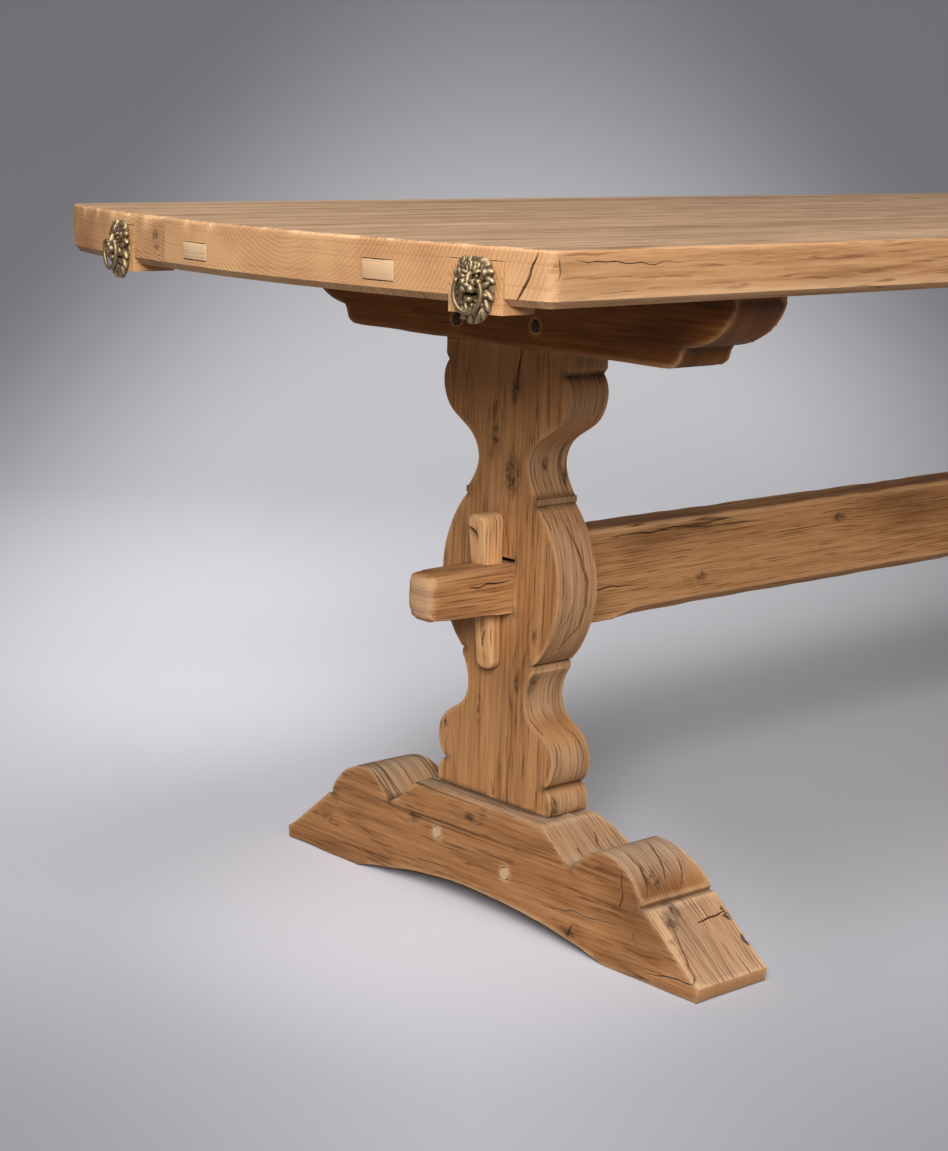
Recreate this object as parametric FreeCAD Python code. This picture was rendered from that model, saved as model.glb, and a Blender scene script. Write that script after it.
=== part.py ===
import FreeCAD, Part
import math
import os
from FreeCAD import Vector

# Trestle dining table with a plank top, two shaped trestles, a keyed stretcher and four draw-out lopers.
# X runs along the table, Y across it and Z up; the origin is on the floor under the middle of the top.
# End a is at -X and end b at +X; the near side is at -Y and the far side at +Y.
os.makedirs("parts", exist_ok=True)

# Overall sizes
TABLE_HEIGHT = 765.0
TOP_LENGTH = 2200.0
TOP_WIDTH = 762.0
TOP_THICKNESS = 52.0
TRESTLE_SETBACK = 386.0

# Clearances: glued joints, sliding pieces, and how far a cut runs past a face
GLUE_FIT = 0.1
SLIDE_FIT = 0.3
OVERRUN = 5.0

# Plank top: three boards, bowed ends, softened edges and hidden loose tongues
BOARD_COUNT = 3
END_BOW = 58.0
TOP_CORNER_RADIUS = 14.0
TOP_EDGE_ROUND = 4.0
UNDER_EDGE_CHAMFER = 7.0
TONGUE_THICKNESS = 10.0
TONGUE_WIDTH = 24.0
TONGUE_END_STOP = 110.0

# Square plugs let into the end grain: place across (far side of end a positive), rise from the underside
PLUG_DEPTH = 60.0
MIDDLE_PLUG_PLACE = 70.0
MIDDLE_PLUG_WIDTH = 42.0
MIDDLE_PLUG_HEIGHT = 17.0
MIDDLE_PLUG_RISE = 13.0
SIDE_PLUG_PLACE = -196.0
SIDE_PLUG_WIDTH = 38.0
SIDE_PLUG_HEIGHT = 19.0
SIDE_PLUG_RISE = 13.5

# Foot: half outline in shares of the half length and of the seat height
FOOT_LENGTH = 682.0
FOOT_WIDTH = 105.0
FOOT_HEIGHT = 128.0
FOOT_ARCH_SPAN = 410.0
FOOT_ARCH_RISE = 26.0
FOOT_WANE_BASE_HEIGHT = 78.0
FOOT_WANE_REACH = 22.0
FOOT_WANE_MIDDLE_SHARES = (0.32, 0.56)
FOOT_SIDE_SHARES = (
    ((0.305, 1.0), (0.345, 0.91), (0.395, 0.80), (0.44, 0.735)),
    ((0.44, 0.735), (0.50, 0.87), (0.56, 0.955), (0.625, 0.94), (0.69, 0.85), (0.735, 0.72),
     (0.752, 0.635)),
    ((0.752, 0.635), (0.747, 0.598)),
    ((0.747, 0.598), (0.771, 0.598)),
    ((0.771, 0.598), (0.965, 0.175)),
    ((0.965, 0.175), (0.998, 0.125)),
    ((0.998, 0.125), (0.992, 0.0)),
)

# Post: half outline in shares of the half width and of the height between foot and bearer
POST_WIDTH = 200.0
POST_THICKNESS = 58.0
POST_SIDE_SHARES = (
    ((0.97, 1.0), (0.97, 0.964)),
    ((0.97, 0.964), (0.92, 0.952)),
    ((0.92, 0.952), (1.0, 0.905), (0.91, 0.857), (0.68, 0.823), (0.465, 0.789), (0.40, 0.752),
     (0.45, 0.715), (0.55, 0.684)),
    ((0.55, 0.684), (0.58, 0.684)),
    ((0.58, 0.684), (0.58, 0.67)),
    ((0.58, 0.67), (0.555, 0.668)),
    ((0.555, 0.668), (0.72, 0.628), (0.87, 0.566), (0.94, 0.485), (0.89, 0.425), (0.76, 0.366),
     (0.59, 0.325)),
    ((0.59, 0.325), (0.545, 0.322)),
    ((0.545, 0.322), (0.575, 0.320)),
    ((0.575, 0.320), (0.575, 0.305)),
    ((0.575, 0.305), (0.50, 0.28), (0.465, 0.246), (0.51, 0.21), (0.68, 0.182), (0.87, 0.153),
     (0.935, 0.112), (0.88, 0.073), (0.80, 0.06)),
    ((0.80, 0.06), (0.89, 0.045), (0.925, 0.024), (0.90, 0.0)),
)
POST_TENON_THICKNESS = 26.0
POST_TENON_WIDTH = 176.0
FOOT_TENON_DEPTH = 86.0
BEARER_TENON_DEPTH = 56.0

# Bearer under the top: half outline in shares of the half length and of the height
BEARER_LENGTH = 664.0
BEARER_THICKNESS = 74.0
BEARER_HEIGHT = 81.0
BEARER_SIDE_SHARES = (
    ((1.0, 1.0), (1.0, 0.84)),
    ((1.0, 0.84), (0.985, 0.70), (0.945, 0.50), (0.88, 0.345), (0.80, 0.265)),
    ((0.80, 0.265), (0.79, 0.20)),
    ((0.79, 0.20), (0.778, 0.07), (0.735, 0.0)),
)

# Draw-bored pegs, staggered off one line of grain: across (far side of end a positive) and up
FOOT_PEG_DIAMETER = 13.0
FOOT_PEG_PLACES = ((66.0, 77.0), (-48.0, 59.0))
BEARER_PEG_DIAMETER = 12.0
BEARER_PEG_PLACES = ((73.0, 22.0), (-52.0, 25.0))

# Stretcher beam with a through-tenon at each end, held by a tapered key
STRETCHER_HEIGHT = 106.0
STRETCHER_THICKNESS = 50.0
STRETCHER_CHAMFER = 10.0
STRETCHER_CHAMFER_STOP = 98.0
STRETCHER_CHAMFER_RUN = 35.0
STRETCHER_CHAMFER_TIP = 1.0
STRETCHER_EASE = 3.0
STRETCHER_MIDDLE_HEIGHT = 369.5
TENON_THICKNESS = 46.0
TENON_HEIGHT = 54.0
TENON_BASE_HEIGHT = 343.0
TENON_REACH = 115.0
TENON_TIP_THICKNESS = 45.0
TENON_TIP_HEIGHT = 53.0
TENON_TIP_ROUND = 11.0
MORTISE_HEADROOM = 5.0
KEY_LENGTH = 174.0
KEY_BASE_HEIGHT = 277.0
KEY_WIDTH = 27.0
KEY_TOP_DEPTH = 33.0
KEY_TIP_DEPTH = 14.0
KEY_OFFSET = 6.0
KEY_END_ROUND = 11.0
KEY_SLOT_RELIEF = 6.0

# Lopers: dovetailed bars that draw out of the ends of the top to carry a leaf
LOPER_NEAR_PLACE = 306.0
LOPER_FAR_PLACE = 222.0
LOPER_DRAW = 380.0
LOPER_BAR_WIDTH = 46.0
LOPER_BAR_NECK = 38.0
LOPER_BAR_DEPTH = 27.0
LOPER_TAIL = 34.0
LOPER_HEAD_WIDTH = 56.0
LOPER_HEAD_LENGTH = 45.0
LOPER_HEAD_DROP = 8.0
LOPER_HEAD_COVER = 13.0
STOP_PEG_DIAMETER = 10.0
STOP_PEG_DROP = 14.0

# Screws that hold the top down, sunk in the underside of each bearer
TOP_SCREW_PLACES = (104.0, 170.0)
TOP_SCREW_SHANK = 8.0
TOP_SCREW_HEAD = 15.0
TOP_SCREW_HEAD_DEPTH = 6.0
TOP_SCREW_SINK = 22.0
TOP_SCREW_BITE = 24.0

# Cast lion masks: scalloped mane, domed brow and beard, muzzle, and two fixing pins
MASK_HEIGHT = 62.0
MASK_WIDTH = 42.0
MASK_RISE = 13.0
MASK_PLATE = 3.0
MASK_DOME = 8.5
MASK_DOME_WIDTH = 34.0
MASK_DOME_SHIFT = 10.0
MANE_LOCKS = 14
MANE_LOCK_SHARE = 0.88
MUZZLE_RADIUS = 8.5
MUZZLE_REACH = 18.0
MUZZLE_ROUND = 4.0
MUZZLE_RISE = 8.0
BROW_RADIUS = 4.0
BROW_SPREAD = 9.0
BROW_RISE = 18.0
BROW_REACH = 11.0
MASK_PIN_PLACES = (23.0, -17.0)
MASK_PIN_SHANK = 2.0
MASK_PIN_HEAD = 4.5
MASK_PIN_HEAD_RISE = 1.2
MASK_PIN_BITE = 14.0

# Ring: an oval of sprung wire whose turned-in ends pivot in the muzzle
RING_WIDTH = 33.0
RING_HEIGHT = 38.0
RING_WIRE = 4.0
RING_KNUCKLE = 5.0
RING_PIN = 3.0
RING_PIN_BITE = 4.0
RING_PIVOT_REACH = 13.5
RING_SHOULDER_GAP = 0.6

# Worked out from the sizes above
UNDERSIDE = TABLE_HEIGHT - TOP_THICKNESS
BEARER_BASE = UNDERSIDE - BEARER_HEIGHT
POST_HEIGHT = BEARER_BASE - FOOT_HEIGHT
TRESTLE_X = TOP_LENGTH / 2 - TRESTLE_SETBACK
POST_FACE_X = TRESTLE_X + POST_THICKNESS / 2
BOARD_WIDTH = TOP_WIDTH / BOARD_COUNT
BOW_RADIUS = ((TOP_WIDTH / 2) ** 2 + END_BOW ** 2) / (2 * END_BOW)
BOW_CENTRE_X = TOP_LENGTH / 2 - BOW_RADIUS
MASK_MIDDLE_Z = UNDERSIDE + MASK_RISE
ENDS = {"a": -1, "b": 1}
SIDES = {"near": -1, "far": 1}


def save(name, shape):
    shape.exportStep("parts/" + name + ".step")
    print(name, len(shape.Solids), "solids", round(shape.Volume), "mm3", shape.isValid())


def block(x0, x1, y0, y1, z0, z1):
    """Box between two corners, given in any order."""
    low = Vector(min(x0, x1), min(y0, y1), min(z0, z1))
    return Part.makeBox(abs(x1 - x0), abs(y1 - y0), abs(z1 - z0), low)


def rod(diameter, start, end):
    """Round rod between two points."""
    return Part.makeCylinder(diameter / 2, (end - start).Length, start, end - start)


def half_turn(shape):
    """The same piece at the other end of the table."""
    turned = shape.copy()
    turned.rotate(Vector(), Vector(0, 0, 1), math.degrees(math.pi))
    return turned


def at_end(shape, end):
    """Pieces are drawn for end b; end a has the same piece turned half round."""
    return shape if ENDS[end] > 0 else half_turn(shape)


def bow_recess(y):
    """How far the bowed end falls back from its tip at a place across the table."""
    return BOW_RADIUS - math.sqrt(BOW_RADIUS ** 2 - y ** 2)


def side_edges(shares, half_width, base, height, flip):
    """One side of an outline: two points make a straight edge, more points make a smooth curve."""
    edges = []
    for run in shares:
        points = [Vector(0, flip * half_width * across, base + height * up) for across, up in run]
        if len(points) == 2:
            edges.append(Part.makeLine(points[0], points[1]))
        else:
            curve = Part.BSplineCurve()
            curve.interpolate(points)
            edges.append(curve.toShape())
    return edges


def shaped_plank(shares, half_width, base, height, thickness, closing):
    """Plank sawn to a symmetric outline, standing across the table in the plane of a trestle."""
    edges = list(closing)
    for flip in SIDES.values():
        edges += side_edges(shares, half_width, base, height, flip)
    face = Part.Face(Part.Wire(Part.__sortEdges__(edges)))
    plank = face.extrude(Vector(thickness, 0, 0))
    plank.translate(Vector(TRESTLE_X - thickness / 2, 0, 0))
    return plank


def cross_line(half_width, height):
    return Part.makeLine(Vector(0, -half_width, height), Vector(0, half_width, height))


# Trestle: foot, post and bearer joined by pegged tenons
def pegs(places, diameter, base, thickness):
    front = TRESTLE_X + thickness / 2
    back = TRESTLE_X - thickness / 2
    return [rod(diameter, Vector(back, -y, base + z), Vector(front, -y, base + z)) for y, z in places]


def peg_holes(places, diameter, base, thickness):
    return Part.makeCompound(pegs(places, diameter + 2 * GLUE_FIT, base, thickness + 2 * OVERRUN))


def foot_wane():
    """Waste along the foot's upper inner arris, where the beam keeps the round of the log."""
    inner = TRESTLE_X - FOOT_WIDTH / 2
    rise = FOOT_HEIGHT - FOOT_WANE_BASE_HEIGHT
    reach_share, rise_share = FOOT_WANE_MIDDLE_SHARES
    low = Vector(inner, 0, FOOT_WANE_BASE_HEIGHT)
    middle = low + Vector(FOOT_WANE_REACH * reach_share, 0, rise * rise_share)
    high = low + Vector(FOOT_WANE_REACH, 0, rise)
    corner = Vector(inner, 0, FOOT_HEIGHT)
    round_face = Part.Arc(low, middle, high).toShape()
    outline = Part.Wire([round_face, Part.makeLine(high, corner), Part.makeLine(corner, low)])
    waste = Part.Face(outline).extrude(Vector(0, FOOT_LENGTH, 0))
    waste.translate(Vector(0, -FOOT_LENGTH / 2, 0))
    return waste


def foot_pegs():
    return [peg.cut(foot_wane()) for peg in pegs(FOOT_PEG_PLACES, FOOT_PEG_DIAMETER, 0, FOOT_WIDTH)]


def bearer_pegs():
    return pegs(BEARER_PEG_PLACES, BEARER_PEG_DIAMETER, BEARER_BASE, BEARER_THICKNESS)


def post_tenon(z0, z1, fit):
    half_x = POST_TENON_THICKNESS / 2 + fit
    half_y = POST_TENON_WIDTH / 2 + fit
    return block(TRESTLE_X - half_x, TRESTLE_X + half_x, -half_y, half_y, z0, z1)


def foot():
    half = FOOT_LENGTH / 2
    toe = half * FOOT_SIDE_SHARES[-1][-1][0]
    seat = half * FOOT_SIDE_SHARES[0][0][0]
    spring = FOOT_ARCH_SPAN / 2
    arch = Part.Arc(Vector(0, -spring, 0), Vector(0, 0, FOOT_ARCH_RISE), Vector(0, spring, 0)).toShape()
    closing = [cross_line(seat, FOOT_HEIGHT), arch]
    for flip in SIDES.values():
        closing.append(Part.makeLine(Vector(0, flip * toe, 0), Vector(0, flip * spring, 0)))
    shape = shaped_plank(FOOT_SIDE_SHARES, half, 0, FOOT_HEIGHT, FOOT_WIDTH, closing).cut(foot_wane())
    mortise = post_tenon(FOOT_HEIGHT - FOOT_TENON_DEPTH - GLUE_FIT, FOOT_HEIGHT + OVERRUN, GLUE_FIT)
    return shape.cut(mortise).cut(peg_holes(FOOT_PEG_PLACES, FOOT_PEG_DIAMETER, 0, FOOT_WIDTH))


def post():
    half = POST_WIDTH / 2
    closing = [
        cross_line(half * POST_SIDE_SHARES[0][0][0], BEARER_BASE),
        cross_line(half * POST_SIDE_SHARES[-1][-1][0], FOOT_HEIGHT),
    ]
    shape = shaped_plank(POST_SIDE_SHARES, half, FOOT_HEIGHT, POST_HEIGHT, POST_THICKNESS, closing)
    shape = shape.fuse(post_tenon(FOOT_HEIGHT - FOOT_TENON_DEPTH, FOOT_HEIGHT, 0))
    shape = shape.fuse(post_tenon(BEARER_BASE, BEARER_BASE + BEARER_TENON_DEPTH, 0))
    shape = shape.cut(peg_holes(FOOT_PEG_PLACES, FOOT_PEG_DIAMETER, 0, FOOT_WIDTH))
    shape = shape.cut(peg_holes(BEARER_PEG_PLACES, BEARER_PEG_DIAMETER, BEARER_BASE, BEARER_THICKNESS))
    half_y = TENON_THICKNESS / 2 + GLUE_FIT
    low = TENON_BASE_HEIGHT - GLUE_FIT
    high = TENON_BASE_HEIGHT + TENON_HEIGHT + MORTISE_HEADROOM
    back = POST_FACE_X - POST_THICKNESS - OVERRUN
    return shape.cut(block(back, POST_FACE_X + OVERRUN, -half_y, half_y, low, high)).removeSplitter()


def top_screw(y, fit):
    """Countersunk screw driven up through the bearer into the top; fit makes its hole."""
    seat = BEARER_BASE + TOP_SCREW_SINK
    tip = UNDERSIDE + TOP_SCREW_BITE + fit
    centre = Vector(TRESTLE_X, y, seat)
    shank = rod(TOP_SCREW_SHANK + 2 * fit, centre, Vector(TRESTLE_X, y, tip))
    head_top = TOP_SCREW_HEAD_DEPTH + fit
    head = Part.makeCone(TOP_SCREW_HEAD / 2 + fit, TOP_SCREW_SHANK / 2 + fit, head_top, centre)
    return shank.fuse(head).removeSplitter()


def top_screws():
    return [top_screw(flip * y, 0) for y in TOP_SCREW_PLACES for flip in SIDES.values()]


def bearer():
    half = BEARER_LENGTH / 2
    closing = [
        cross_line(half * BEARER_SIDE_SHARES[0][0][0], UNDERSIDE),
        cross_line(half * BEARER_SIDE_SHARES[-1][-1][0], BEARER_BASE),
    ]
    shape = shaped_plank(BEARER_SIDE_SHARES, half, BEARER_BASE, BEARER_HEIGHT, BEARER_THICKNESS, closing)
    mortise_end = BEARER_BASE + BEARER_TENON_DEPTH + GLUE_FIT
    shape = shape.cut(post_tenon(BEARER_BASE - OVERRUN, mortise_end, GLUE_FIT))
    shape = shape.cut(peg_holes(BEARER_PEG_PLACES, BEARER_PEG_DIAMETER, BEARER_BASE, BEARER_THICKNESS))
    for y in TOP_SCREW_PLACES:
        for flip in SIDES.values():
            low = Vector(TRESTLE_X, flip * y, BEARER_BASE - OVERRUN)
            sink = rod(TOP_SCREW_HEAD + 2 * GLUE_FIT, low, low + Vector(0, 0, OVERRUN + TOP_SCREW_SINK))
            shape = shape.cut(sink).cut(top_screw(flip * y, GLUE_FIT))
    return shape


# Stretcher: beam with stopped chamfers, through-tenons with rounded tips, and a sloping slot for each key
def section(x, thickness, z0, z1):
    half = thickness / 2
    corners = [Vector(x, -half, z0), Vector(x, half, z0), Vector(x, half, z1), Vector(x, -half, z1)]
    return Part.makePolygon(corners + corners[:1])


def tenon():
    top = TENON_BASE_HEIGHT + TENON_HEIGHT
    shoulder = POST_FACE_X - POST_THICKNESS
    inside = block(shoulder - OVERRUN, POST_FACE_X, -TENON_THICKNESS / 2, TENON_THICKNESS / 2,
                   TENON_BASE_HEIGHT, top)
    tip_base = TENON_BASE_HEIGHT + (TENON_HEIGHT - TENON_TIP_HEIGHT) / 2
    tip = section(POST_FACE_X + TENON_REACH, TENON_TIP_THICKNESS, tip_base, tip_base + TENON_TIP_HEIGHT)
    horn = Part.makeLoft([section(POST_FACE_X, TENON_THICKNESS, TENON_BASE_HEIGHT, top), tip], True)
    end_face = max(horn.Faces, key=lambda face: face.CenterOfMass.x)
    horn = horn.makeFillet(TENON_TIP_ROUND, end_face.Edges)
    return inside.fuse(horn)


def key_profile(fit):
    """Side view of the key: straight towards the post, sloping on its outer face."""
    top = KEY_BASE_HEIGHT + KEY_LENGTH
    inner = POST_FACE_X
    corners = [
        Vector(inner, 0, KEY_BASE_HEIGHT),
        Vector(inner + KEY_TIP_DEPTH + fit, 0, KEY_BASE_HEIGHT),
        Vector(inner + KEY_TOP_DEPTH + fit, 0, top),
        Vector(inner, 0, top),
    ]
    return Part.Face(Part.makePolygon(corners + corners[:1]))


def key_blank(width, fit):
    blank = key_profile(fit).extrude(Vector(0, width, 0))
    blank.translate(Vector(0, -KEY_OFFSET - width / 2, 0))
    return blank


def key():
    """Key with its four end corners, seen from the front, rounded over."""
    blank = key_blank(KEY_WIDTH, 0)
    ends = (KEY_BASE_HEIGHT, KEY_BASE_HEIGHT + KEY_LENGTH)
    corners = []
    for edge in blank.Edges:
        middle = edge.CenterOfMass
        runs_through = abs(edge.tangentAt(edge.FirstParameter).x) > math.cos(math.pi / 4)
        if runs_through and min(abs(middle.z - z) for z in ends) < GLUE_FIT:
            corners.append(edge)
    return blank.makeFillet(KEY_END_ROUND, corners)


def key_slot():
    slot = key_blank(KEY_WIDTH + 2 * SLIDE_FIT, SLIDE_FIT)
    relief_x = POST_FACE_X - KEY_SLOT_RELIEF
    half = KEY_WIDTH / 2 + SLIDE_FIT
    relief = block(relief_x, POST_FACE_X, -KEY_OFFSET - half, -KEY_OFFSET + half,
                   KEY_BASE_HEIGHT, KEY_BASE_HEIGHT + KEY_LENGTH)
    return slot.fuse(relief)


def chamfer_triangle(x, y, z, size, flip):
    corners = [Vector(x, y, z), Vector(x, y - flip * size, z), Vector(x, y, z + size)]
    return Part.makePolygon(corners + corners[:1])


def stopped_chamfer(length, y, z, flip):
    """Waste of a chamfer along one lower arris, which runs out towards both ends of the beam."""
    stop = length / 2 - STRETCHER_CHAMFER_STOP
    full = stop - STRETCHER_CHAMFER_RUN
    places = ((-stop, STRETCHER_CHAMFER_TIP), (-full, STRETCHER_CHAMFER), (full, STRETCHER_CHAMFER),
              (stop, STRETCHER_CHAMFER_TIP))
    return Part.makeLoft([chamfer_triangle(x, y, z, size, flip) for x, size in places], True, True)


def stretcher():
    shoulder = POST_FACE_X - POST_THICKNESS
    half = STRETCHER_THICKNESS / 2
    low = STRETCHER_MIDDLE_HEIGHT - STRETCHER_HEIGHT / 2
    shape = block(-shoulder, shoulder, -half, half, low, low + STRETCHER_HEIGHT)
    for flip in SIDES.values():
        shape = shape.cut(stopped_chamfer(2 * shoulder, flip * half, low, flip))
    high = low + STRETCHER_HEIGHT - GLUE_FIT
    long_edges = [edge for edge in shape.Edges if edge.BoundBox.XLength > shoulder]
    upper = [edge for edge in long_edges if edge.CenterOfMass.z > high]
    shape = shape.makeChamfer(STRETCHER_EASE, upper)
    for end in ENDS:
        shape = shape.fuse(at_end(tenon(), end))
    shape = shape.removeSplitter()
    for end in ENDS:
        shape = shape.cut(at_end(key_slot(), end))
    return shape


# Lopers, drawn for the near side of end b at a place across the table
BEARER_INSIDE_X = TRESTLE_X - BEARER_THICKNESS / 2
STOP_PEG_X = BEARER_INSIDE_X - LOPER_DRAW - SLIDE_FIT - STOP_PEG_DIAMETER / 2
LOPER_TAIL_X = STOP_PEG_X - LOPER_TAIL
BAR_BASE = UNDERSIDE + SLIDE_FIT
LOPER_PLACES = {
    ("a", "near"): LOPER_NEAR_PLACE,
    ("a", "far"): LOPER_FAR_PLACE,
    ("b", "near"): LOPER_FAR_PLACE,
    ("b", "far"): LOPER_NEAR_PLACE,
}


def on_corner(draw, end, side):
    """A piece drawn for the near side of end b, moved to any corner of the table."""
    shape = draw(LOPER_PLACES[end, side])
    if ENDS[end] * SIDES[side] > 0:
        shape = shape.mirror(Vector(), Vector(0, 1, 0))
    return at_end(shape, end)


def dovetail(place, x0, x1, base, depth, neck, width):
    """Bar along X that is wider at its top than at its neck."""
    corners = [
        Vector(x0, -place - neck / 2, base),
        Vector(x0, -place + neck / 2, base),
        Vector(x0, -place + width / 2, base + depth),
        Vector(x0, -place - width / 2, base + depth),
    ]
    return Part.Face(Part.makePolygon(corners + corners[:1])).extrude(Vector(x1 - x0, 0, 0))


def hung(shape, place):
    """A piece of a mask, drawn facing +X, turned to the bow of the end and set on the loper's head."""
    lean = math.asin(place / BOW_RADIUS)
    reach = BOW_RADIUS + SLIDE_FIT
    turned = shape.copy()
    turned.rotate(Vector(), Vector(0, 0, 1), -math.degrees(lean))
    turned.translate(Vector(BOW_CENTRE_X + reach * math.cos(lean), -reach * math.sin(lean), MASK_MIDDLE_Z))
    return turned


def head_back(place):
    return TOP_LENGTH / 2 - bow_recess(place) - LOPER_HEAD_LENGTH


def stop_peg(place):
    top = BAR_BASE + LOPER_BAR_DEPTH
    return rod(STOP_PEG_DIAMETER, Vector(STOP_PEG_X, -place, UNDERSIDE - STOP_PEG_DROP),
               Vector(STOP_PEG_X, -place, top))


def loper(place):
    """Bar with a square head whose front lies flat against the back of the mask."""
    bar = dovetail(place, LOPER_TAIL_X, head_back(place) + OVERRUN, BAR_BASE, LOPER_BAR_DEPTH,
                   LOPER_BAR_NECK, LOPER_BAR_WIDTH)
    half = LOPER_HEAD_WIDTH / 2
    head = block(head_back(place), TOP_LENGTH / 2, -place - half, -place + half,
                 UNDERSIDE - LOPER_HEAD_DROP, TABLE_HEIGHT - LOPER_HEAD_COVER)
    outside = block(0, TABLE_HEIGHT, -TABLE_HEIGHT, TABLE_HEIGHT, -TABLE_HEIGHT, TABLE_HEIGHT)
    shape = bar.fuse(head.cut(hung(outside, place))).removeSplitter()
    hole = rod(STOP_PEG_DIAMETER + 2 * GLUE_FIT, Vector(STOP_PEG_X, -place, UNDERSIDE - OVERRUN),
               Vector(STOP_PEG_X, -place, UNDERSIDE + LOPER_BAR_DEPTH + OVERRUN))
    shape = shape.cut(hole)
    for z in MASK_PIN_PLACES:
        shape = shape.cut(hung(mask_pin(z, GLUE_FIT), place))
    return shape


def loper_housing(place):
    """Dovetail groove under the top and the square notch for the head."""
    slope = (LOPER_BAR_WIDTH - LOPER_BAR_NECK) / LOPER_BAR_DEPTH
    depth = LOPER_BAR_DEPTH + 2 * SLIDE_FIT
    neck = LOPER_BAR_NECK + 2 * SLIDE_FIT - slope * (OVERRUN + SLIDE_FIT)
    width = neck + slope * (depth + OVERRUN)
    groove = dovetail(place, LOPER_TAIL_X - SLIDE_FIT, head_back(place) + OVERRUN, UNDERSIDE - OVERRUN,
                      depth + OVERRUN, neck, width)
    half = LOPER_HEAD_WIDTH / 2 + SLIDE_FIT
    notch = block(head_back(place) - SLIDE_FIT, TOP_LENGTH / 2 + OVERRUN, -place - half, -place + half,
                  UNDERSIDE - OVERRUN, TABLE_HEIGHT - LOPER_HEAD_COVER + SLIDE_FIT)
    return groove.fuse(notch)


# Lion masks and rings, drawn facing +X with the middle of the mask's back at the origin
def mane():
    """Oval plate with a scalloped rim, one scallop to each lock of the mane."""
    half_y = MASK_WIDTH / 2
    half_z = MASK_HEIGHT / 2
    edges = []
    for lock in range(MANE_LOCKS):
        places = []
        for part, reach in ((-1, MANE_LOCK_SHARE), (0, 1), (1, MANE_LOCK_SHARE)):
            angle = 2 * math.pi * (lock + part / 2) / MANE_LOCKS
            places.append(Vector(0, half_y * reach * math.sin(angle), half_z * reach * math.cos(angle)))
        edges.append(Part.Arc(*places).toShape())
    return Part.Face(Part.Wire(edges)).extrude(Vector(MASK_PLATE, 0, 0))


def dome_radius():
    rise = MASK_DOME - MASK_PLATE
    return ((MASK_DOME_WIDTH / 2) ** 2 + rise ** 2) / (2 * rise)


def dome(z):
    """Cap of a ball on the face of the mane, for the brow or the beard."""
    radius = dome_radius()
    ball = Part.makeSphere(radius, Vector(MASK_DOME - radius, 0, z))
    return ball.common(block(MASK_PLATE / 2, 2 * radius, -radius, radius, z - radius, z + radius))


def dome_height(z):
    """Height of the nearer dome over the back of the mask, on its upright middle line."""
    off = abs(abs(z) - MASK_DOME_SHIFT)
    return MASK_DOME - dome_radius() + math.sqrt(dome_radius() ** 2 - off ** 2)


def mask_pin(z, fit):
    """Pin through the mane into the loper, with its head let in; fit makes its hole."""
    seat = dome_height(z)
    front = seat + MASK_PIN_HEAD_RISE
    shank = rod(MASK_PIN_SHANK + 2 * fit, Vector(-MASK_PIN_BITE - fit, 0, z), Vector(front, 0, z))
    end = front + OVERRUN if fit else front
    head = rod(MASK_PIN_HEAD + 2 * fit, Vector(seat - MASK_PIN_HEAD_RISE - fit, 0, z), Vector(end, 0, z))
    return shank.fuse(head).removeSplitter()


def ring_pivot():
    return Vector(RING_PIVOT_REACH, 0, MUZZLE_RISE)


def mask():
    foot = Vector(0, 0, MUZZLE_RISE)
    muzzle = Part.makeCylinder(MUZZLE_RADIUS, MUZZLE_REACH, foot, Vector(1, 0, 0))
    rims = [edge for edge in muzzle.Edges if abs(edge.CenterOfMass.x - MUZZLE_REACH) < GLUE_FIT]
    shape = mane().fuse(dome(MASK_DOME_SHIFT)).fuse(dome(-MASK_DOME_SHIFT))
    shape = shape.fuse(muzzle.makeFillet(MUZZLE_ROUND, rims))
    for flip in SIDES.values():
        brow = Vector(BROW_REACH - BROW_RADIUS, flip * BROW_SPREAD / 2, BROW_RISE)
        shape = shape.fuse(Part.makeSphere(BROW_RADIUS, brow))
    shape = shape.removeSplitter()
    for flip in SIDES.values():
        outside = ring_pivot() + Vector(0, flip * (MUZZLE_RADIUS + OVERRUN), 0)
        inside = ring_pivot() + Vector(0, flip * (MUZZLE_RADIUS - RING_PIN_BITE - SLIDE_FIT), 0)
        shape = shape.cut(rod(RING_PIN + 2 * SLIDE_FIT, inside, outside))
    for z in MASK_PIN_PLACES:
        shape = shape.cut(mask_pin(z, GLUE_FIT))
    return shape


def mask_pins():
    return Part.makeCompound([mask_pin(z, 0) for z in MASK_PIN_PLACES])


def ring():
    """Oval wire hanging round the muzzle, with both ends turned in to its pivot holes."""
    spread = MUZZLE_RADIUS + RING_SHOULDER_GAP + RING_KNUCKLE / 2
    half_width = (RING_WIDTH - RING_WIRE) / 2
    half_height = (RING_HEIGHT - RING_WIRE) / 2
    turn = math.asin(spread / half_width)
    middle = ring_pivot() - Vector(0, 0, half_height * math.cos(turn))
    oval = Part.Ellipse(middle + Vector(0, 0, half_height), middle + Vector(0, half_width, 0), middle)
    line = Part.ArcOfEllipse(oval, turn, 2 * math.pi - turn).toShape()
    start = line.valueAt(line.FirstParameter)
    circle = Part.makeCircle(RING_WIRE / 2, start, line.tangentAt(line.FirstParameter))
    shape = Part.Wire(line).makePipeShell([Part.Wire(circle)], True, True)
    for flip in SIDES.values():
        knuckle = ring_pivot() + Vector(0, flip * spread, 0)
        tip = ring_pivot() + Vector(0, flip * (MUZZLE_RADIUS - RING_PIN_BITE), 0)
        shape = shape.fuse(Part.makeSphere(RING_KNUCKLE / 2, knuckle))
        shape = shape.fuse(rod(RING_PIN, tip, knuckle))
    return shape.removeSplitter()


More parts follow.
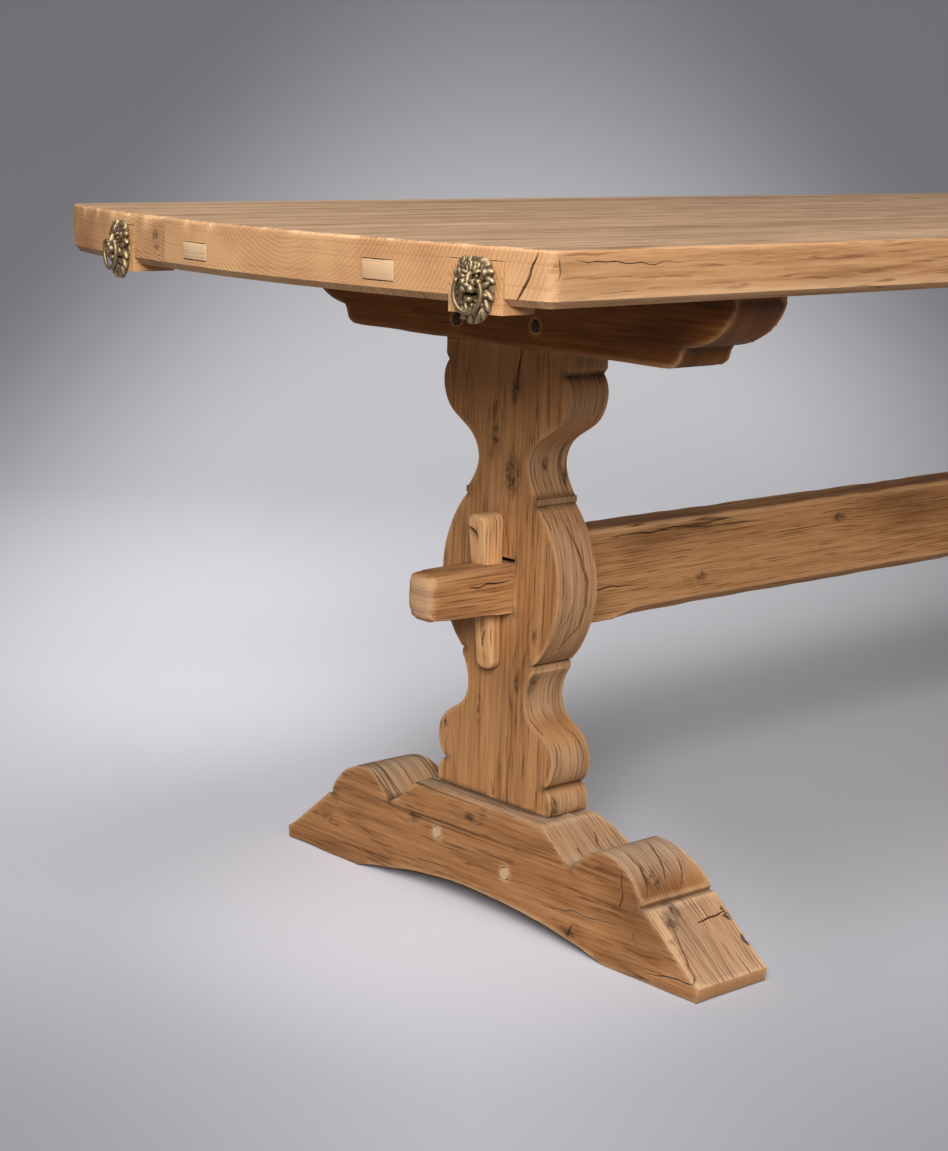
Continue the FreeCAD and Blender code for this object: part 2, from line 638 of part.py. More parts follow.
# Plank top
def top_slab():
    """Whole top before it is split into boards: bowed ends, rounded corners, softened edges."""
    half_y = TOP_WIDTH / 2
    corner_x = TOP_LENGTH / 2 - END_BOW
    edges = []
    for flip in SIDES.values():
        edges.append(Part.makeLine(Vector(-corner_x, flip * half_y, 0), Vector(corner_x, flip * half_y, 0)))
    for flip in ENDS.values():
        edges.append(Part.Arc(Vector(flip * corner_x, -half_y, 0), Vector(flip * TOP_LENGTH / 2, 0, 0),
                              Vector(flip * corner_x, half_y, 0)).toShape())
    slab = Part.Face(Part.Wire(Part.__sortEdges__(edges))).extrude(Vector(0, 0, TOP_THICKNESS))
    slab.translate(Vector(0, 0, UNDERSIDE))
    upright = [edge for edge in slab.Edges if edge.BoundBox.ZLength > OVERRUN]
    slab = slab.makeFillet(TOP_CORNER_RADIUS, upright)
    rim = [edge for edge in slab.Edges if edge.BoundBox.ZMin > TABLE_HEIGHT - GLUE_FIT]
    slab = slab.makeFillet(TOP_EDGE_ROUND, rim)
    under = [edge for edge in slab.Edges if edge.BoundBox.ZMax < UNDERSIDE + GLUE_FIT]
    return slab.makeChamfer(UNDER_EDGE_CHAMFER, under)


def joints_between_boards():
    return [BOARD_WIDTH * (joint + 1) - TOP_WIDTH / 2 for joint in range(BOARD_COUNT - 1)]


def tongue(y, fit):
    half_x = TOP_LENGTH / 2 - TONGUE_END_STOP + fit
    half_y = TONGUE_WIDTH / 2 + fit
    middle = TABLE_HEIGHT - TOP_THICKNESS / 2
    half_z = TONGUE_THICKNESS / 2 + fit
    return block(-half_x, half_x, y - half_y, y + half_y, middle - half_z, middle + half_z)


def plug_blanks(fit):
    """Plugs of end b, longer than the top; the top's own outline trims them flush."""
    sizes = (
        (MIDDLE_PLUG_PLACE, MIDDLE_PLUG_WIDTH, MIDDLE_PLUG_RISE, MIDDLE_PLUG_HEIGHT),
        (SIDE_PLUG_PLACE, SIDE_PLUG_WIDTH, SIDE_PLUG_RISE, SIDE_PLUG_HEIGHT),
    )
    blanks = []
    for place, width, rise, height in sizes:
        back = TOP_LENGTH / 2 - bow_recess(place) - PLUG_DEPTH - fit
        half = width / 2 + fit
        low = UNDERSIDE + rise
        blanks.append(block(back, TOP_LENGTH / 2 + OVERRUN, -place - half, -place + half,
                            low - fit, low + height + fit))
    return blanks


def boards_of(slab):
    """Slab split into boards, then housed for tongues, plugs, lopers and screws."""
    cuts = [tongue(y, GLUE_FIT) for y in joints_between_boards()]
    for end in ENDS:
        cuts += [at_end(blank, end) for blank in plug_blanks(GLUE_FIT)]
        cuts += [on_corner(loper_housing, end, side) for side in SIDES]
        for y in TOP_SCREW_PLACES:
            cuts += [at_end(top_screw(flip * y, GLUE_FIT), end) for flip in SIDES.values()]
    boards = []
    for number in range(BOARD_COUNT):
        low = BOARD_WIDTH * number - TOP_WIDTH / 2
        strip = block(-TOP_LENGTH, TOP_LENGTH, low, low + BOARD_WIDTH, 0, TABLE_HEIGHT + OVERRUN)
        boards.append(slab.common(strip).cut(cuts))
    return boards


slab = top_slab()
for number, board in enumerate(boards_of(slab)):
    save("top_board_" + str(number + 1), board)
save("board_tongues", Part.makeCompound([tongue(y, 0) for y in joints_between_boards()]))
plugs = [at_end(blank, end).common(slab) for end in ENDS for blank in plug_blanks(0)]
save("end_plugs", Part.makeCompound(plugs))

for end in ENDS:
    save("foot_" + end, at_end(foot(), end))
    save("post_" + end, at_end(post(), end))
    save("bearer_" + end, at_end(bearer(), end))
    save("tusk_key_" + end, at_end(key(), end))
save("stretcher", stretcher())
save("foot_pegs", Part.makeCompound([at_end(peg, end) for end in ENDS for peg in foot_pegs()]))
save("bearer_pegs", Part.makeCompound([at_end(peg, end) for end in ENDS for peg in bearer_pegs()]))
save("top_screws", Part.makeCompound([at_end(screw, end) for end in ENDS for screw in top_screws()]))

lion = mask()
lion_pins = mask_pins()
pull = ring()
for end in ENDS:
    for side in SIDES:
        corner = end + "_" + side
        save("loper_" + corner, on_corner(loper, end, side))
        save("loper_stop_" + corner, on_corner(stop_peg, end, side))
        save("lion_mask_" + corner, on_corner(lambda place: hung(lion, place), end, side))
        save("mask_pins_" + corner, on_corner(lambda place: hung(lion_pins, place), end, side))
        save("ring_" + corner, on_corner(lambda place: hung(pull, place), end, side))
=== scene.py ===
import math

import bmesh
import bpy
from mathutils import Matrix, Vector, noise
from mathutils.bvhtree import BVHTree
from mathutils.kdtree import KDTree


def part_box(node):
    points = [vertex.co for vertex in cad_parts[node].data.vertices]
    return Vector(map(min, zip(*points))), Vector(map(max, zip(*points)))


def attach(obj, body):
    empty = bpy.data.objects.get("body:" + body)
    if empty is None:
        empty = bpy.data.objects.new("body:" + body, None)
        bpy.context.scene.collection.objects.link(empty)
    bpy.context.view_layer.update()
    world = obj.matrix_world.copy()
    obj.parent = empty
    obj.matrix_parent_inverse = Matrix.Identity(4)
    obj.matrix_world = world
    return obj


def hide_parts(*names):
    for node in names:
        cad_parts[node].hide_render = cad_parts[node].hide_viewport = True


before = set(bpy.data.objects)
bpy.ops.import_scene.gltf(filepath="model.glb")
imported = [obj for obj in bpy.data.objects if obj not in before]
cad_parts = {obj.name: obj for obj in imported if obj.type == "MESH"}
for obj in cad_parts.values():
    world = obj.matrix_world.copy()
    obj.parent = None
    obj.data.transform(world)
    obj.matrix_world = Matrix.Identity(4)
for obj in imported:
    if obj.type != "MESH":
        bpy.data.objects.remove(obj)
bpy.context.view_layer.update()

# Feet: one sawn oak beam under each trestle, with a shaped upper edge and a low arch between its two pads.
# Their arrises are worn round by shoes and brooms, and the wood has split along its grain near the toes.
ALONG_TABLE, ACROSS_TABLE, UPRIGHT = 0, 1, 2
FOOT_GRAIN_DARK = (0.090, 0.032, 0.008)
FOOT_GRAIN_MID = (0.330, 0.138, 0.046)
FOOT_GRAIN_LIGHT = (0.520, 0.255, 0.105)
FOOT_PALE_ARRIS = (0.660, 0.400, 0.210)
FOOT_DRIED = (0.500, 0.355, 0.230)
# Height of the painted shade along the bottom of the foot, where it stands on the floor.
FOOT_FLOOR_SHADE_LINE = 0.004
TOE_STRIP_START, TOE_STRIP_RUN = 0.262, 0.075
TOE_STRIP_EDGE, TOE_STRIP_SLANT = 0.745, 0.29
CREASE_TURN = math.radians(38)


def crease(shape):
    """Shades a shape smooth, with a crease along each edge that turns sharply."""
    shape.normal_update()
    for face in shape.faces:
        face.smooth = True
    for edge in shape.edges:
        edge.smooth = edge.calc_face_angle(0) < CREASE_TURN


def cut_broad(shape):
    """Cuts each face of more than four sides into triangles."""
    broad = [face for face in shape.faces if len(face.verts) > 4]
    bmesh.ops.triangulate(shape, faces=broad, quad_method="BEAUTY", ngon_method="BEAUTY")


def nearest_of(spots):
    """A search tree for the nearest of some places."""
    found = KDTree(len(spots))
    for index, spot in enumerate(spots):
        found.insert(spot, index)
    found.balance()
    return found


def make_piece(name, shape):
    """Makes an object of a finished shape and adds it to the scene."""
    mesh = bpy.data.meshes.new(name)
    shape.to_mesh(mesh)
    shape.free()
    piece = bpy.data.objects.new(name, mesh)
    bpy.context.scene.collection.objects.link(piece)
    return piece


def worn_timber(name, node, grain, ease, cell, hollow, dent, kept_sharp=None, still=None, blunted=None,
                blunt=0.0):
    """A node's shape with rounded arrises and with faces worn a little hollow along the grain.

    ease rounds the arrises and cell spaces the points. hollow and dent are the depths of wear on the faces
    and on the arrises.
    """
    same_point = 2e-5
    arris_turn, gentle_turn = math.radians(30), math.radians(14)
    narrowest_quirk = 0.0006
    worn_reach, crease_shade_reach = 0.011, 0.008
    along_step = 0.004
    timber = bmesh.new()
    timber.from_mesh(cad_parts[node].data)
    bmesh.ops.remove_doubles(timber, verts=timber.verts, dist=same_point)
    bmesh.ops.dissolve_limit(timber, angle_limit=math.radians(0.2), verts=timber.verts, edges=timber.edges)
    if blunted is not None:
        bmesh.ops.bevel(timber, geom=[edge for edge in timber.edges if blunted(edge)], affect="EDGES",
                        offset=blunt, offset_type="OFFSET", segments=4, profile=0.5, material=-1,
                        clamp_overlap=True)
        bmesh.ops.remove_doubles(timber, verts=timber.verts, dist=same_point)
    arrises = []
    for edge in timber.edges:
        if edge.is_manifold and edge.calc_face_angle(0) > arris_turn:
            if kept_sharp is None or not kept_sharp(edge):
                arrises.append(edge)
    # Concave arrises wider than a sliver are quirks, which get painted shade; the convex ones wear pale.
    quirks = []
    for edge in arrises:
        slimmest = min(face.calc_area() for face in edge.link_faces) / edge.calc_length()
        if edge.calc_face_angle_signed(0) < 0 and slimmest > narrowest_quirk:
            quirks.append(edge)
    nearest = {}
    for kind, edges in (("worn", set(arrises) - set(quirks)), ("painted_shade", quirks)):
        along = [Vector((9.0, 9.0, 9.0))]
        for edge in edges:
            start, end = edge.verts[0].co, edge.verts[1].co
            count = max(1, int((end - start).length / along_step))
            along += [start.lerp(end, step / count) for step in range(count + 1)]
        nearest[kind] = nearest_of(along)
    bmesh.ops.bevel(timber, geom=arrises, affect="EDGES", offset=ease, offset_type="OFFSET", segments=3,
                    profile=0.5, material=-1, clamp_overlap=True)
    cut_broad(timber)
    low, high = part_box(node)
    for axis in range(3):
        count = int((high[axis] - low[axis]) / cell)
        for step in range(1, count):
            place, direction = Vector(), Vector()
            place[axis] = low[axis] + (high[axis] - low[axis]) * step / count
            direction[axis] = 1.0
            bmesh.ops.bisect_plane(timber, geom=timber.verts[:] + timber.edges[:] + timber.faces[:],
                                   plane_co=place, plane_no=direction, dist=1e-5)
    bmesh.ops.dissolve_degenerate(timber, edges=timber.edges, dist=0.0001)
    cut_broad(timber)
    gentle = []
    for vert in timber.verts:
        if all(edge.calc_face_angle(1) < gentle_turn for edge in vert.link_edges):
            gentle.append(vert)
    for step in range(4):
        bmesh.ops.smooth_vert(timber, verts=gentle, factor=0.5, use_axis_x=True, use_axis_y=True,
                              use_axis_z=True)
    # Each point notes how worn it is and how much painted shade it takes from a nearby quirk.
    worn = timber.verts.layers.float.new("worn")
    painted_shade = timber.verts.layers.float.new("painted_shade")
    stretch = Vector((11.0, 11.0, 11.0))
    stretch[grain] = 1.8
    timber.normal_update()
    moves = []
    for vert in timber.verts:
        vert[worn] = max(0.0, 1.0 - nearest["worn"].find(vert.co)[2] / worn_reach)
        vert[painted_shade] = max(0.0, 1.0 - nearest["painted_shade"].find(vert.co)[2] / crease_shade_reach)
        spot = Vector((vert.co.x * stretch.x, vert.co.y * stretch.y, vert.co.z * stretch.z))
        sink = hollow * (0.5 + 0.5 * noise.noise(spot))
        sink += dent * vert[worn] * max(0.0, noise.noise(vert.co * 23.0) + 0.15)
        out = sum((face.normal * face.calc_area() for face in vert.link_faces), Vector()).normalized()
        if still is not None and still(vert.co):
            out.y = 0.0
            out = out.normalized() if out.length > 0.3 else Vector()
        moves.append(out * sink)
    for vert, move in zip(timber.verts, moves):
        vert.co -= move
        for axis in range(3):
            vert.co[axis] = min(high[axis], max(low[axis], vert.co[axis]))
    crease(timber)
    return make_piece(name, timber)


def split_along(piece, splits):
    """Opens drying splits in a piece: each is a path near its surface, with a width and a depth."""
    spacing, wander, finest = 0.0005, 0.0022, 0.0008
    timber = bmesh.new()
    timber.from_mesh(piece.data)
    surface = BVHTree.FromBMesh(timber)
    noise.seed_set(5)
    stations = []
    for path, width, depth in splits:
        for number, (start, end) in enumerate(zip(path, path[1:])):
            count = max(2, int((Vector(end) - Vector(start)).length / spacing))
            for step in range(count):
                spot = Vector(start).lerp(Vector(end), step / count)
                spot += noise.noise_vector(spot * 70.0) * wander
                share = math.sin(math.pi * (number + step / count + 0.15) / (len(path) - 0.7)) ** 0.6
                stations.append((surface.find_nearest(spot)[0], width / 2 * share, depth * share))
    lines = nearest_of([station[0] for station in stations])
    for finer in range(5):
        coarse = []
        for edge in timber.edges:
            length = edge.calc_length()
            middle = (edge.verts[0].co + edge.verts[1].co) / 2
            place, index, distance = lines.find(middle)
            if length > finest and distance < finest + 1.3 * stations[index][1] + length / 2:
                coarse.append(edge)
        bmesh.ops.subdivide_edges(timber, edges=coarse, cuts=1, use_grid_fill=True)
        cut_broad(timber)
    timber.normal_update()
    painted_shade = timber.verts.layers.float["painted_shade"]
    for vert, out in [(vert, vert.normal.copy()) for vert in timber.verts]:
        near, index, distance = lines.find(vert.co)
        half, depth = stations[index][1:]
        if distance < half:
            vert.co -= out * depth * (1.0 - distance / half)
        # Painted shade darkens each split and a little round it.
        if distance < half * 1.5:
            vert[painted_shade] = max(vert[painted_shade], 1.5 - distance / half)
    crease(timber)
    timber.to_mesh(piece.data)
    timber.free()
    return piece


def turned_for(end, splits):
    """The splits of one end's piece, which the other end repeats turned half round."""
    side = -1.0 if end == "a" else 1.0
    return [([(side * x, side * y, z) for x, y, z in path], width, depth) for path, width, depth in splits]


def shader_node(tree, kind, inputs, **settings):
    """Adds a node to a material, with its settings, and with values or other nodes' outputs on its inputs."""
    node = tree.nodes.new(kind)
    for key, value in settings.items():
        setattr(node, key, value)
    for key, value in inputs.items():
        if isinstance(value, bpy.types.NodeSocket):
            tree.links.new(value, node.inputs[key])
        else:
            node.inputs[key].default_value = value
    return node


def oak(name, grain, heart, pitch, dark, mid, light, pale, knots=(), bleach=None, bleach_tone=None,
        rings=0.12, waver=0.014, stripes=0.62):
    """Old oak: growth rings round a heart line, fibres, pores, drying checks, knots and pale worn arrises.

    pitch is the width of a year, knots are places with a reach, and bleach is the direction whose faces have
    dried pale.
    """
    material = bpy.data.materials.new(name)
    material.use_nodes = True
    tree = material.node_tree
    shader = tree.nodes["Principled BSDF"]

    def add(kind, inputs, **settings):
        return shader_node(tree, kind, inputs, **settings)

    def reckon(operation, first, second=0.0, third=0.0):
        return add("ShaderNodeMath", {0: first, 1: second, 2: third}, operation=operation).outputs[0]

    def stretched(place, factors):
        return add("ShaderNodeVectorMath", {0: place, 1: factors}, operation="MULTIPLY").outputs[0]

    def mottle(place, scale, detail, roughness=0.55):
        return add("ShaderNodeTexNoise", {"Vector": place, "Scale": scale, "Detail": detail,
                                          "Roughness": roughness})

    def spread(value, low, high, to_low=0.0, to_high=1.0):
        return add("ShaderNodeMapRange", {"Value": value, "From Min": low, "From Max": high,
                                          "To Min": to_low, "To Max": to_high}).outputs[0]

    def blend(amount, first, second, kind="MIX"):
        node = add("ShaderNodeMix", {0: amount, 6: first, 7: second}, data_type="RGBA", blend_type=kind)
        return node.outputs[2]

    turn = {ALONG_TABLE: (0.0, 0.0, 0.0), ACROSS_TABLE: (0.0, 0.0, -math.pi / 2),
            UPRIGHT: (0.0, math.pi / 2, 0.0)}[grain]
    coordinates = tree.nodes.new("ShaderNodeTexCoord").outputs["Object"]
    placed = add("ShaderNodeMapping", {"Vector": coordinates, "Rotation": turn,
                                       "Location": (0.0, -heart[0], -heart[1])}).outputs[0]
    drift = mottle(stretched(placed, (0.8, 2.2, 2.2)), 1.6, 2.0).outputs["Color"]
    drift = add("ShaderNodeVectorMath", {0: drift, 1: (0.5, 0.5, 0.5)}, operation="SUBTRACT").outputs[0]
    drift = stretched(drift, (0.0, waver, waver))
    grown = add("ShaderNodeVectorMath", {0: placed, 1: drift}, operation="ADD").outputs[0]

    knot_mask, knot_swell = None, None
    for x, y, z, reach in knots:
        centre = {ALONG_TABLE: (x, y, z), ACROSS_TABLE: (y, -x, z), UPRIGHT: (z, y, -x)}[grain]
        from_heart = (centre[0], centre[1] - heart[0], centre[2] - heart[1])
        offset = add("ShaderNodeVectorMath", {0: placed, 1: from_heart}, operation="SUBTRACT").outputs[0]
        scaled = stretched(offset, (0.55 / reach, 1.0 / reach, 1.0 / reach))
        distance = add("ShaderNodeVectorMath", {0: scaled}, operation="LENGTH").outputs["Value"]
        core = spread(distance, 1.25, 0.45)
        swell = spread(distance, 3.6, 0.6)
        knot_mask = core if knot_mask is None else reckon("MAXIMUM", knot_mask, core)
        knot_swell = swell if knot_swell is None else reckon("MAXIMUM", knot_swell, swell)

    round_heart = add("ShaderNodeVectorMath", {0: stretched(grown, (0.0, 1.0, 1.0))},
                      operation="LENGTH").outputs["Value"]
    years = mottle(stretched(grown, (0.12, 1.0, 1.0)), 9.0, 3.0, 0.6).outputs[0]
    phase = reckon("MULTIPLY_ADD", round_heart, 1.0 / pitch, reckon("MULTIPLY", years, 5.0))
    if knot_swell is not None:
        phase = reckon("MULTIPLY_ADD", knot_swell, 0.9, phase)
    ring = reckon("FRACT", phase)
    ring_tone = spread(reckon("ABSOLUTE", reckon("SUBTRACT", ring, 0.62)), 0.55, 0.18)
    faces = tree.nodes.new("ShaderNodeNewGeometry").outputs["Normal"]

    def turned_to(axis, low, high):
        direction = [0.0, 0.0, 0.0]
        direction[axis] = 1.0
        towards = add("ShaderNodeVectorMath", {0: faces, 1: direction}, operation="DOT_PRODUCT")
        return spread(reckon("ABSOLUTE", towards.outputs["Value"]), low, high)

    sawn = turned_to(grain, 0.60, 0.90)
    long_grain = reckon("SUBTRACT", 1.0, sawn)
    flat = turned_to(UPRIGHT if grain == ALONG_TABLE else ALONG_TABLE, 0.50, 0.85)

    def figure(along, across, detail, roughness=0.55):
        """Noise drawn out along the grain, which changes across the flat of a plank and through its edges."""
        drawn = []
        for factors in ((along, across, across / 100), (along, across / 100, across)):
            drawn.append(mottle(stretched(grown, factors), 1.0, detail, roughness).outputs[0])
        if grain == ACROSS_TABLE:
            drawn.reverse()
        return add("ShaderNodeMix", {0: flat, 2: drawn[1], 3: drawn[0]}, data_type="FLOAT").outputs[0]

    fibre = figure(10.0, 240.0, 4.0, 0.65)
    streak = figure(0.9, 26.0, 5.0, 0.62)
    cloud = mottle(stretched(grown, (2.4, 6.0, 6.0)), 1.0, 3.0).outputs[0]
    pore = spread(figure(24.0, 420.0, 1.0), 0.56, 0.66)
    pore = reckon("MULTIPLY", pore, spread(ring_tone, 0.9, 0.2, 0.25, 1.0))
    check = figure(0.75, 24.0, 3.0, 0.45)
    check = spread(reckon("ABSOLUTE", reckon("SUBTRACT", check, 0.5)), 0.010, 0.0)
    gate = spread(mottle(stretched(placed, (3.0, 9.0, 9.0)), 1.0, 2.0).outputs[0], 0.54, 0.62)
    check = reckon("MULTIPLY", reckon("MULTIPLY", check, gate), long_grain)
    ring_line = spread(reckon("ABSOLUTE", reckon("SUBTRACT", ring, 0.5)), 0.16, 0.34)
    tone = reckon("MULTIPLY_ADD", ring_tone, rings, 0.05)
    tone = reckon("MULTIPLY_ADD", spread(fibre, 0.34, 0.66), 0.40, tone)
    tone = reckon("MULTIPLY_ADD", spread(streak, 0.30, 0.70), 0.50 - rings, tone)
    ramp = add("ShaderNodeValToRGB", {"Fac": tone})
    stops = ramp.color_ramp.elements
    stops[0].position, stops[0].color = 0.12, dark + (1.0,)
    stops[1].position, stops[1].color = 0.88, light + (1.0,)
    middle = stops.new(0.46)
    middle.color = mid + (1.0,)
    colour = ramp.outputs["Color"]
    cut = blend(spread(cloud, 0.35, 0.65), mid + (1.0,), light + (1.0,))
    ring_line = reckon("MULTIPLY", spread(ring_line, 1.0, 0.0), spread(cloud, 0.30, 0.70, 0.58, 0.12))
    cut = blend(ring_line, cut, dark + (1.0,))
    speck = mottle(stretched(grown, (1.0, 1.0, 1.0)), 240.0, 3.0, 0.65).outputs[0]
    cut = blend(spread(speck, 0.52, 0.70, 0.0, 0.45), cut, mid + (1.0,))
    colour = blend(reckon("MULTIPLY", sawn, 0.85), colour, cut)
    colour = blend(spread(cloud, 0.40, 0.66, 0.0, 0.42), colour, light + (1.0,))
    colour = blend(spread(cloud, 0.42, 0.30, 0.0, 0.50), colour, dark + (1.0,))
    if bleach is not None:
        facing = add("ShaderNodeVectorMath", {0: faces, 1: bleach}, operation="DOT_PRODUCT").outputs["Value"]
        facing = spread(reckon("ABSOLUTE", facing), 0.55, 0.95)
        dry = blend(spread(tone, 0.25, 0.69), tuple(stripes * part for part in bleach_tone) + (1.0,),
                    bleach_tone + (1.0,))
        colour = blend(reckon("MULTIPLY", facing, 0.75), colour, dry)
    worn = add("ShaderNodeAttribute", {}, attribute_name="worn").outputs["Fac"]
    worn = reckon("MULTIPLY", spread(worn, 0.40, 0.95), spread(streak, 0.35, 0.65, 0.25, 0.85))
    colour = blend(worn, colour, pale + (1.0,))
    colour = blend(reckon("MULTIPLY", pore, spread(sawn, 0.0, 1.0, 0.70, 0.20)), colour, dark + (1.0,))
    # A near-black tone: painted shade in quirks, splits and joints, and the real dark of drying checks and
    # knots.
    dark_and_painted_shade = tuple(0.30 * part for part in dark) + (1.0,)
    painted_shade = add("ShaderNodeAttribute", {}, attribute_name="painted_shade").outputs["Fac"]
    painted_shade = reckon("MULTIPLY", painted_shade, spread(cloud, 0.30, 0.70, 0.55, 0.95))
    colour = blend(painted_shade, colour, dark_and_painted_shade)
    colour = blend(reckon("MULTIPLY", check, 0.85), colour, dark_and_painted_shade)
    if knot_mask is not None:
        ragged = spread(mottle(placed, 130.0, 3.0, 0.7).outputs[0], 0.32, 0.62)
        knot_mask = reckon("MULTIPLY", knot_mask, ragged)
        colour = blend(reckon("MULTIPLY", knot_mask, 0.88), colour, dark_and_painted_shade)
    tree.links.new(colour, shader.inputs["Base Color"])
    tree.links.new(spread(fibre, 0.3, 0.7, 0.72, 0.50), shader.inputs["Roughness"])
    shader.inputs["Specular IOR Level"].default_value = 0.32

    height = reckon("MULTIPLY", reckon("MULTIPLY", fibre, 0.55), long_grain)
    height = reckon("MULTIPLY_ADD", ring_tone, 0.30, height)
    height = reckon("MULTIPLY_ADD", pore, -0.45, height)
    height = reckon("MULTIPLY_ADD", check, -1.2, height)
    bump = add("ShaderNodeBump", {"Height": height, "Strength": 0.45, "Distance": 0.0011})
    tree.links.new(bump.outputs["Normal"], shader.inputs["Normal"])
    return material


foot_knots = ((-0.731, -0.267, 0.073, 0.008), (-0.740, -0.245, 0.100, 0.012), (-0.745, -0.277, 0.065, 0.009),
              (-0.766, 0.105, 0.085, 0.006), (-0.766, 0.012, 0.108, 0.006), (-0.766, -0.150, 0.022, 0.007),
              (-0.766, 0.262, 0.045, 0.006), (0.766, 0.240, 0.070, 0.010), (0.766, -0.130, 0.060, 0.007))
foot_oak = oak("foot_oak", ACROSS_TABLE, heart=(1.10, 0.05), pitch=0.0050, dark=FOOT_GRAIN_DARK,
               mid=FOOT_GRAIN_MID, light=FOOT_GRAIN_LIGHT, pale=FOOT_PALE_ARRIS, knots=foot_knots,
               bleach=(0.0, 0.0, 1.0), bleach_tone=FOOT_DRIED)
foot_splits = (
    (((0.767, 0.225, 0.112), (0.767, 0.227, 0.096), (0.767, 0.227, 0.082), (0.767, 0.224, 0.068)),
     0.0022, 0.010),
    (((0.747, 0.280, 0.062), (0.750, 0.297, 0.048), (0.755, 0.314, 0.035), (0.760, 0.328, 0.024),
      (0.766, 0.334, 0.020)), 0.0022, 0.006),
    (((0.767, 0.334, 0.019), (0.767, 0.321, 0.017), (0.767, 0.301, 0.016), (0.767, 0.264, 0.011)),
     0.0020, 0.006),
    (((0.711, 0.285, 0.059), (0.688, 0.284, 0.060), (0.665, 0.281, 0.062)), 0.0018, 0.005),
    (((0.767, 0.156, 0.031), (0.767, 0.151, 0.021), (0.767, 0.148, 0.015)), 0.0024, 0.008),
    (((0.755, 0.256, 0.083), (0.748, 0.243, 0.102), (0.744, 0.230, 0.112), (0.743, 0.206, 0.122)),
     0.0024, 0.007),
    (((0.726, 0.256, 0.083), (0.717, 0.238, 0.107), (0.710, 0.221, 0.117), (0.702, 0.195, 0.122)),
     0.0018, 0.005),
    (((0.708, 0.254, 0.086), (0.696, 0.247, 0.097), (0.689, 0.232, 0.110)), 0.0018, 0.005),
    (((0.767, 0.106, 0.039), (0.767, 0.152, 0.045), (0.767, 0.198, 0.047), (0.767, 0.227, 0.052)),
     0.0012, 0.003),
    (((0.767, 0.243, 0.049), (0.767, 0.247, 0.041), (0.767, 0.253, 0.034)), 0.0018, 0.004),
    (((0.668, 0.279, 0.063), (0.667, 0.287, 0.056)), 0.0110, 0.004),
    (((0.664, 0.306, 0.041), (0.663, 0.313, 0.035)), 0.0090, 0.004),
    (((0.703, 0.121, 0.113), (0.709, 0.134, 0.103)), 0.0020, 0.005),
    (((0.737, 0.131, 0.105), (0.738, 0.142, 0.098)), 0.0020, 0.005),
)
for end in ("a", "b"):
    foot = worn_timber("foot_worn_" + end, "foot_" + end, ACROSS_TABLE, ease=0.0045, cell=0.012,
                       hollow=0.0009, dent=0.0022)
    split_along(foot, turned_for(end, foot_splits))
    side = -1.0 if end == "a" else 1.0
    shade_values = foot.data.attributes["painted_shade"].data
    pale = foot.data.attributes["worn"].data
    for vert in foot.data.vertices:
        # Painted shade along the bottom of the foot, where it stands on the floor.
        if vert.co.z < FOOT_FLOOR_SHADE_LINE:
            shade_values[vert.index].value = max(shade_values[vert.index].value, 0.6)
        along_toe = side * vert.co.y - TOE_STRIP_START
        on_slope = 0 < along_toe < TOE_STRIP_RUN and vert.normal.z > 0.5
        if on_slope and side * vert.co.x > TOE_STRIP_EDGE + TOE_STRIP_SLANT * along_toe:
            pale[vert.index].value = 1.0
    foot.data.materials.append(foot_oak)
    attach(foot, "table")
    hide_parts("foot_" + end)

# Posts: a thick upright oak plank for each trestle, sawn to a double-curved outline with small square quirks.
# Its moulded edges have bleached and dried, and long splits follow the grain through the belly.
POST_GRAIN_DARK = (0.105, 0.038, 0.009)
POST_GRAIN_MID = (0.375, 0.165, 0.057)
POST_GRAIN_LIGHT = (0.575, 0.300, 0.125)
POST_PALE_ARRIS = (0.630, 0.360, 0.175)
POST_DRIED = (0.480, 0.282, 0.151)
# Height of the painted shade round the bottom of the post, where it stands on the foot.
POST_FOOT_LINE = 0.129
post_knots = ((-0.743, 0.013, 0.532, 0.008), (-0.743, -0.015, 0.495, 0.013), (-0.743, -0.016, 0.585, 0.007),
              (-0.743, -0.034, 0.267, 0.006), (-0.736, -0.050, 0.268, 0.008), (-0.718, -0.040, 0.507, 0.005),
              (-0.743, -0.058, 0.322, 0.004), (-0.743, 0.082, 0.199, 0.004), (-0.743, 0.028, 0.225, 0.003),
              (-0.737, -0.092, 0.135, 0.008),
              (0.743, 0.030, 0.300, 0.011), (0.743, -0.020, 0.520, 0.010))
post_oak = oak("post_oak", UPRIGHT, heart=(0.02, 1.05), pitch=0.0050, dark=POST_GRAIN_DARK,
               mid=POST_GRAIN_MID, light=POST_GRAIN_LIGHT, pale=POST_PALE_ARRIS, knots=post_knots,
               bleach=(0.0, 1.0, 0.0), bleach_tone=POST_DRIED)
